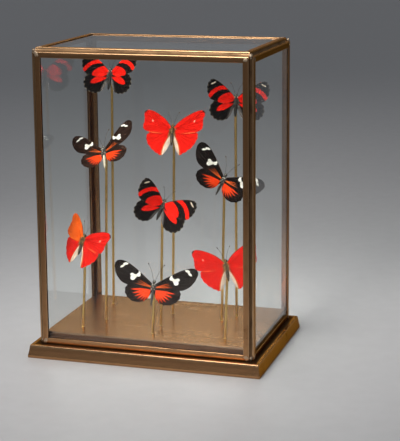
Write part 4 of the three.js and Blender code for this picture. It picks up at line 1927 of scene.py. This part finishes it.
@dataclass
class GlassCover:
    """Five panes in mitred brass cames, soldered along their edges."""

    lip: float = 0.5
    hem: float = 0.24
    hem_length: float = 0.7
    hem_rounding: float = 0.3
    web: float = 2.3
    rounding: float = 0.8
    crown: float = 0.05
    mitre_gap: float = 0.04
    sway: float = 0.05
    fillet: float = 2.3
    fillet_root: float = -0.25
    seam_gap: float = 0.1
    foot_gap: float = 0.4
    blob: float = 1.5
    blob_inset: float = 0.75
    dab: float = 0.22
    first_bar: int = 10
    first_seam: int = 70

    def section(self, width: float, thickness: float) -> tuple[Array, Array]:
        """Lay out a came's grooved section.

        Args:
            width: Its size across the pane.
            thickness: Its size through the pane.

        Returns:
            The points as inward and up, turning left, and how rubbed each one is.
        """
        half = thickness / 2
        inner = half - self.lip
        tight = inner - self.hem
        small = self.hem_rounding
        hem_start = width - self.hem_length
        upper = [(hem_start, tight, 0.0), (width, tight, 0.3)]
        upper += corner_arc((width - small, half - small), small, 0.0, 3)
        upper += [(width - 1.2, half, 0.0), (self.rounding + 0.4, half + self.crown, 0.0)]
        upper += corner_arc((self.rounding, half - self.rounding), self.rounding, 90.0, 5)
        groove = [(self.web, -inner, 0.0), (self.web, inner, 0.0), (hem_start, inner, 0.0)]
        lower = [(x, -y, worn) for x, y, worn in reversed(upper)]
        outline = np.array(groove + upper + lower + [(hem_start, -inner, 0.0)])
        return outline[:, :2], outline[:, 2]

    def build(self, brass: Material, solder: Material, glass: Material) -> None:
        """Make the cames and the solder, and dress the panes.

        Args:
            brass: The cames' material.
            solder: The solder's material.
            glass: The panes' material.
        """
        seed = self.first_bar
        for name, panel in PANELS.items():
            thickness = panel.measure()[3]
            for bar, turn, x, y, length in panel.sides():
                low, high = node_box(bar)
                width = sorted(high - low)[1]
                section, worn = self.section(width, thickness)
                points, faces, place = mitred_bar(section, length, self.mitre_gap, self.sway, seed)
                parts = MeshParts()
                edge = np.tile(worn, len(points) // len(worn))
                parts.add(panel.set(points, turn, x, y), faces, bar_place=place, edge=edge)
                place_piece(parts.make(f"{bar}.came", [brass], crease=30.0), Slot.FRAME, bar)
                seed += 1
            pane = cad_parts[f"{name}_glass"]
            pane.data.materials.clear()
            pane.data.materials.append(glass)
        self._solder(solder)

    def _solder(self, solder: Material) -> None:
        """Run solder along the cover's edges, with a lump at each corner and a dab on each mitre.

        Args:
            solder: The solder's material.
        """
        low, high = node_box(*upright_bars("front"), *upright_bars("back"))
        side_high = node_box(*upright_bars("right"), *upright_bars("left"))[1]
        thick = PANELS["front"].measure()[3]
        in_x = high[0] + self.seam_gap
        in_y = side_high[1] + self.seam_gap
        in_z = high[2] + self.seam_gap
        base = low[2]
        foot = base + self.foot_gap
        out = thick / 2 - self.blob_inset
        parts = MeshParts()
        seed = self.first_seam
        for x_way in (-1, 1):
            for y_way in (-1, 1):
                corner = (x_way * in_x, y_way * in_y, foot)
                self._fillet(parts, corner, (0, 0, 1), in_z - foot, (x_way, 0, 0), (0, y_way, 0), seed)
                for z, tall in ((in_z + thick / 2 - 1.6, 1.7), (base + 2.2, 1.4)):
                    middle = (x_way * (in_x + out), y_way * (in_y + out), z)
                    self._lump(parts, middle, np.diag([1, 1, tall]) * self.blob, seed + int(z))
                seed += 1
        for panel in PANELS.values():
            seed = self._dabs(parts, panel, seed)
        runs = [((-in_x, way * in_y, in_z), (1, 0, 0), 2 * in_x, (0, way, 0)) for way in (-1, 1)]
        runs += [((way * in_x, -in_y, in_z), (0, 1, 0), 2 * in_y, (way, 0, 0)) for way in (-1, 1)]
        for number, (corner, along, length, first) in enumerate(runs, seed):
            self._fillet(parts, corner, along, length, first, (0, 0, 1), number)
        piece = parts.make("cover_solder", [solder], crease=60.0)
        mend = bmesh.new()
        mend.from_mesh(piece.data)
        bmesh.ops.recalc_face_normals(mend, faces=mend.faces)
        mend.to_mesh(piece.data)
        mend.free()
        place_piece(piece, Slot.FRAME)

    def _fillet(
        self, parts: MeshParts, corner: Triple, along: Triple, length: float, first: Triple, second: Triple,
        seed: int,
    ) -> None:
        """Add a hollow strip of solder in the groove between two cames.

        Args:
            parts: The piece to add to.
            corner: Where the groove's inner line starts.
            along: The way that the groove runs.
            length: How long it is.
            first: The way out along one came.
            second: The way out along the other came.
            seed: Which strip it is.
        """
        stations = np.linspace(0, length, max(24, int(length / 4)))
        size = self.fillet * (1 + 0.07 * wave(stations, seed, 60.0) + 0.04 * wave(stations, seed + 9, 17.0))
        sweep = np.linspace(0, math.pi / 2, 7)
        across = np.outer(size, np.concatenate([[0.0], 1 - np.sin(sweep), [-0.09]]))
        rise = np.outer(size, np.concatenate([[0.0], 1 - np.cos(sweep), [1.0]]))
        across[:, 0] = self.fillet_root
        rise[:, 0] = self.fillet_root
        rise[:, 1] = -0.2
        points = np.array(corner) + stations[:, None, None] * np.array(along)
        points = points + across[:, :, None] * np.array(first) + rise[:, :, None] * np.array(second)
        points = points.reshape(-1, 3)
        count = across.shape[1]
        round_it = np.tile(np.arange(count), len(stations))
        apart = np.full(len(points), seed * GRAIN_STRIDE)
        place = np.stack([np.repeat(stations, count), round_it, apart], axis=1)
        # Near each end the strip gets the bright colour, a painted highlight; along the rest a value below
        # zero darkens it a little, painted shade.
        near_end = np.minimum(stations, length - stations)
        glint_and_shade = np.repeat(1.1 * np.exp(-((near_end / 5.0) ** 2)) - 0.4, count)
        parts.add(points, capped_faces(len(stations), count), bar_place=place, edge=glint_and_shade)

    def _dabs(self, parts: MeshParts, panel: FlatFrame, seed: int) -> int:
        """Set a flat dab of solder over each mitre of a pane's frame.

        Args:
            parts: The piece to add to.
            panel: The frame.
            seed: Which dab comes first.

        Returns:
            The seed for what comes next.
        """
        middle, width, height, thick = panel.measure()
        right, up, out = (np.array(axis, float) for axis in (panel.right, panel.up, panel.out))
        for across in (-1, 1):
            for rise in (-1, 1):
                draws = np.random.default_rng(seed)
                inset = draws.uniform(2.3, 3.0, 2)
                place = middle + across * (width / 2 - inset[0]) * right + rise * (height / 2 - inset[1]) * up
                long, short = draws.uniform(2.0, 2.7), draws.uniform(1.5, 2.1)
                lean = (right * across + up * rise) / math.sqrt(2)
                beside = np.cross(out, lean)
                axes = np.stack([long * lean, short * beside, self.dab * out], axis=1)
                self._lump(parts, place + out * (thick / 2 + 0.02), axes, seed)
                seed += 1
        return seed

    def _lump(self, parts: MeshParts, middle: Array, axes: Array, seed: int) -> None:
        """Add an uneven rounded lump of solder.

        Args:
            parts: The piece to add to.
            middle: Its middle.
            axes: Its three half sizes with their directions, as columns.
            seed: Which lump it is.
        """
        ball = bmesh.new()
        bmesh.ops.create_icosphere(ball, subdivisions=3, radius=1.0)
        points = np.array([vertex.co for vertex in ball.verts])
        faces = [[vertex.index for vertex in face.verts] for face in ball.faces]
        ball.free()
        swell = 1 + 0.12 * np.sin(points @ np.array([2.1, 1.3, 1.9]) + seed)
        swell += 0.09 * np.sin(points @ np.array([-3.1, 3.7, 1.2]) + 2 * seed)
        swell += 0.10 * np.sin(points @ np.array([5.2, 4.4, -2.6]) + 3 * seed)
        points = (points * swell[:, None]) @ axes.T
        # The lump's edge value of 0.85 gives it the bright solder colour: a painted highlight.
        parts.add(points + np.asarray(middle), faces, bar_place=points + seed * 7.0, edge=0.85)


@dataclass
class Base:
    """A stained plinth under a brass plate, inside a brass skirt."""

    flare: float = 1.8
    foot: float = 2.0
    rounding: float = 0.7
    mitre_gap: float = 0.04
    sway: float = 0.04
    first_bar: int = 40
    plate_grain: float = 0.3
    plate_bevel: float = 0.35
    plate_cuts: tuple[int, int] = (41, 27)

    def build(self, brass: Material, plate: Material, wood: Material) -> None:
        """Make the skirt and the plate, and dress the plinth.

        Args:
            brass: The skirt's material.
            plate: The plate's material.
            wood: The plinth's material.
        """
        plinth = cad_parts["plinth"]
        plinth.data.materials.clear()
        plinth.data.materials.append(wood)
        self._skirt(brass)
        self._plate(plate)

    def _skirt_section(self) -> Array:
        """Lay out the skirt's section, from its inner foot over the ledge and down the sloped face.

        Returns:
            Points as inward, up and how rubbed each one is, below 0 where painted shade darkens the ledge.
        """
        height = SKIRT.measure()[3]
        low, high = node_box("skirt_front")
        wide = high[1] - low[1]
        half = height / 2
        radius = self.rounding
        turn = self.flare + radius
        knee = -half + self.foot
        slope = math.degrees(math.atan2(self.flare, height - self.foot))
        # The ledge's inner part, under the cames, is set below zero: painted shade, fading out towards the
        # rounded outer edge.
        outline = [(wide, -half, 0.0), (wide, half, -1.0), (wide * 0.48, half, -0.9), (turn + 0.5, half, 0.0)]
        bend = np.radians(np.linspace(90, 180 - slope, 6))
        outline += [(turn + radius * math.cos(a), half - radius + radius * math.sin(a), 1.0) for a in bend]
        outline += [(self.flare * 0.55, knee + (height - self.foot) * 0.42, 0.0)]
        outline += [(0.12, knee + 0.7, 0.25), (0.0, knee, 0.6), (0.0, -half + 0.5, 0.4)]
        outline += [(0.15, -half + 0.12, 0.8), (0.5, -half, 0.2)]
        return np.array(outline)

    def _skirt(self, brass: Material) -> None:
        """Make the four sloped bars round the plinth.

        Args:
            brass: Their material.
        """
        section = self._skirt_section()
        seed = self.first_bar
        for bar, turn, x, y, length in SKIRT.sides():
            points, faces, place = mitred_bar(section[:, :2], length, self.mitre_gap, self.sway, seed)
            parts = MeshParts()
            edge = np.tile(section[:, 2], len(points) // len(section))
            parts.add(SKIRT.set(points, turn, x, y), faces, bar_place=place, edge=edge)
            place_piece(parts.make(f"{bar}.moulding", [brass], crease=30.0), Slot.FRAME, bar)
            seed += 1

    def _plate(self, brass: Material) -> None:
        """Make the brushed plate with softened edges.

        Args:
            brass: Its material.
        """
        low, high = node_box("display_plate")
        bevel = self.plate_bevel
        cuts = [
            np.concatenate([[start], np.linspace(start + bevel, end - bevel, count), [end]])
            for start, end, count in zip(low, high, self.plate_cuts)
        ]
        x, y = np.meshgrid(*cuts)
        rim = (x == low[0]) | (x == high[0]) | (y == low[1]) | (y == high[1])
        top = np.stack([x, y, np.where(rim, high[2] - bevel, high[2])], axis=2).reshape(-1, 3)
        bottom = np.stack([x, y, np.full_like(x, low[2])], axis=2).reshape(-1, 3)
        rows, columns = x.shape
        count = rows * columns
        faces = grid_faces(rows, columns, closed=False)
        under = [[index + count for index in face[::-1]] for face in faces]
        number = np.arange(count).reshape(rows, columns)
        loop = np.concatenate([number[0, :-1], number[:-1, -1], number[-1, :0:-1], number[:0:-1, 0]]).tolist()
        walls = [[a + count, b + count, b, a] for a, b in zip(loop, loop[1:] + loop[:1])]
        points = np.vstack([top, bottom])
        # The rim is set to 1, so it is rubbed bright: worn metal and a painted edge highlight.
        edge = np.concatenate([rim.ravel() * 1.0, np.zeros(count)])
        parts = MeshParts()
        parts.add(points, faces + under + walls, bar_place=points * self.plate_grain, edge=edge)
        place_piece(parts.make("display_plate.sheet", [brass], crease=30.0), Slot.PLATE, "display_plate")


@dataclass(frozen=True)
class Lamp:
    """A soft square light: its place and width in metres, its power in watts and its beam in degrees."""

    name: str
    place: Triple
    size: float
    power: float
    spread: float
    colour: Colour

    def build(self, target: Triple) -> None:
        """Add the light.

        Args:
            target: The point that it looks at, in metres.
        """
        data = bpy.data.lights.new(self.name, "AREA")
        data.shape = "SQUARE"
        data.size = self.size
        data.energy = self.power
        data.spread = math.radians(self.spread)
        data.color = self.colour
        light = bpy.data.objects.new(self.name, data)
        light.location = self.place
        light.rotation_euler = (Vector(target) - Vector(self.place)).to_track_quat("-Z", "Y").to_euler()
        bpy.context.scene.collection.objects.link(light)


LAMPS = (
    Lamp("key", (-0.30, -1.40, 0.98), size=0.6, power=1.05, spread=38.0, colour=(1.0, 0.97, 0.93)),
    Lamp("above", (-0.15, -0.10, 1.30), size=0.6, power=0.62, spread=46.0, colour=(1.0, 0.98, 0.95)),
    Lamp("fill", (1.30, -0.30, 0.80), size=0.6, power=0.15, spread=50.0, colour=(0.95, 0.97, 1.0)),
    Lamp("back", (-1.00, 2.80, 1.90), size=1.2, power=1.05, spread=50.0, colour=(1.0, 0.98, 0.96)),
)


@dataclass
class Studio:
    """The pale floor, the soft lights and the camera at the photograph's angle."""

    eye: Triple = (409.67, -1226.04, 423.40)
    azimuth: float = 17.033
    elevation: float = 11.307
    roll: float = -0.477
    focal_pixels: float = 1379.13
    sensor: float = 36.0
    shift_up: float = -0.10
    lit_at: Triple = (0, 0, 0.17)
    floor_size: float = 30.0
    floor_tones: tuple[Colour, Colour] = ((0.54, 0.54, 0.55), (0.60, 0.60, 0.61))
    floor_roughness: float = 0.55
    sky: Colour = (0.86, 0.89, 0.94)
    sky_strength: float = 0.2

    def build(self) -> None:
        """Set everything up."""
        self._camera()
        self._floor()
        self._sky()
        for lamp in LAMPS:
            lamp.build(self.lit_at)

    def _camera(self) -> None:
        """Add the camera."""
        data = bpy.data.cameras.new("camera")
        data.sensor_width = self.sensor
        data.lens = self.focal_pixels * self.sensor / max(IMAGE_WIDTH, IMAGE_HEIGHT)
        data.shift_y = self.shift_up
        data.clip_start = 0.01
        camera = bpy.data.objects.new("camera", data)
        turn, lift, roll = (math.radians(angle) for angle in (self.azimuth, self.elevation, self.roll))
        back = Vector((math.sin(turn) * math.cos(lift), -math.cos(turn) * math.cos(lift), math.sin(lift)))
        level = Vector((0, 0, 1)).cross(back).normalized()
        upright = back.cross(level)
        right = math.cos(roll) * level + math.sin(roll) * upright
        up = -math.sin(roll) * level + math.cos(roll) * upright
        axes = Matrix((right, up, back)).transposed()
        camera.matrix_world = Matrix.Translation(Vector(self.eye) * MM) @ axes.to_4x4()
        bpy.context.scene.collection.objects.link(camera)
        bpy.context.scene.camera = camera

    def _floor(self) -> None:
        """Add the floor."""
        half = self.floor_size / 2
        corners = [(-half, -half, 0), (half, -half, 0), (half, half, 0), (-half, half, 0)]
        mesh = bpy.data.meshes.new("floor")
        mesh.from_pydata(corners, [], [[0, 1, 2, 3]])
        floor = bpy.data.objects.new("floor", mesh)
        bpy.context.scene.collection.objects.link(floor)
        material, desk, surface = new_surface("pale_floor")
        grain = desk.noise(desk.metres(), scale=60.0, detail=4.0)
        tones = desk.mix(grain, *self.floor_tones)
        desk.fill(surface, {"Base Color": tones, "Roughness": self.floor_roughness})
        mesh.materials.append(material)

    def _sky(self) -> None:
        """Set the pale surroundings, and show colours as they are."""
        world = bpy.data.worlds.new("studio")
        world.use_nodes = True
        background = world.node_tree.nodes["Background"]
        background.inputs["Color"].default_value = (*self.sky, 1.0)
        background.inputs["Strength"].default_value = self.sky_strength
        bpy.context.scene.world = world
        bpy.context.scene.view_settings.view_transform = "Standard"


FIRST_BUTTERFLY = 200


def main() -> None:
    """Build the case and the studio round it."""
    logging.basicConfig(level=logging.INFO, format="%(message)s")
    Studio().build()
    effects = Effects()
    bars = ANTIQUE_BRASS.material(effects)
    Base().build(bars, PLATE_BRASS.material(effects), WoodFinish().material(effects))
    GlassCover().build(bars, SOLDER.material(effects), GlassFinish().material())
    drawn = ROD_BRASS.material(effects)
    rods = Rods()
    for perch in PERCHES:
        rods.build(perch, drawn)
    shared = [finish.material() for finish in (EYE, HORN, GLUE)]
    plumages = {Kind.PLAIN_RED: red_plumage(), Kind.RAYED: rayed_plumage(), Kind.BANDED: banded_plumage()}
    coats = {kind: [*look.materials(effects), *shared] for kind, look in plumages.items()}
    for seed, perch in enumerate(PERCHES, FIRST_BUTTERFLY):
        insect = Butterfly(perch, seed)
        piece = insect.build(coats[perch.kind])
        place_piece(piece, insect.plan.slot, f"butterfly_{perch.place}")


if __name__ == "__main__":
    main()
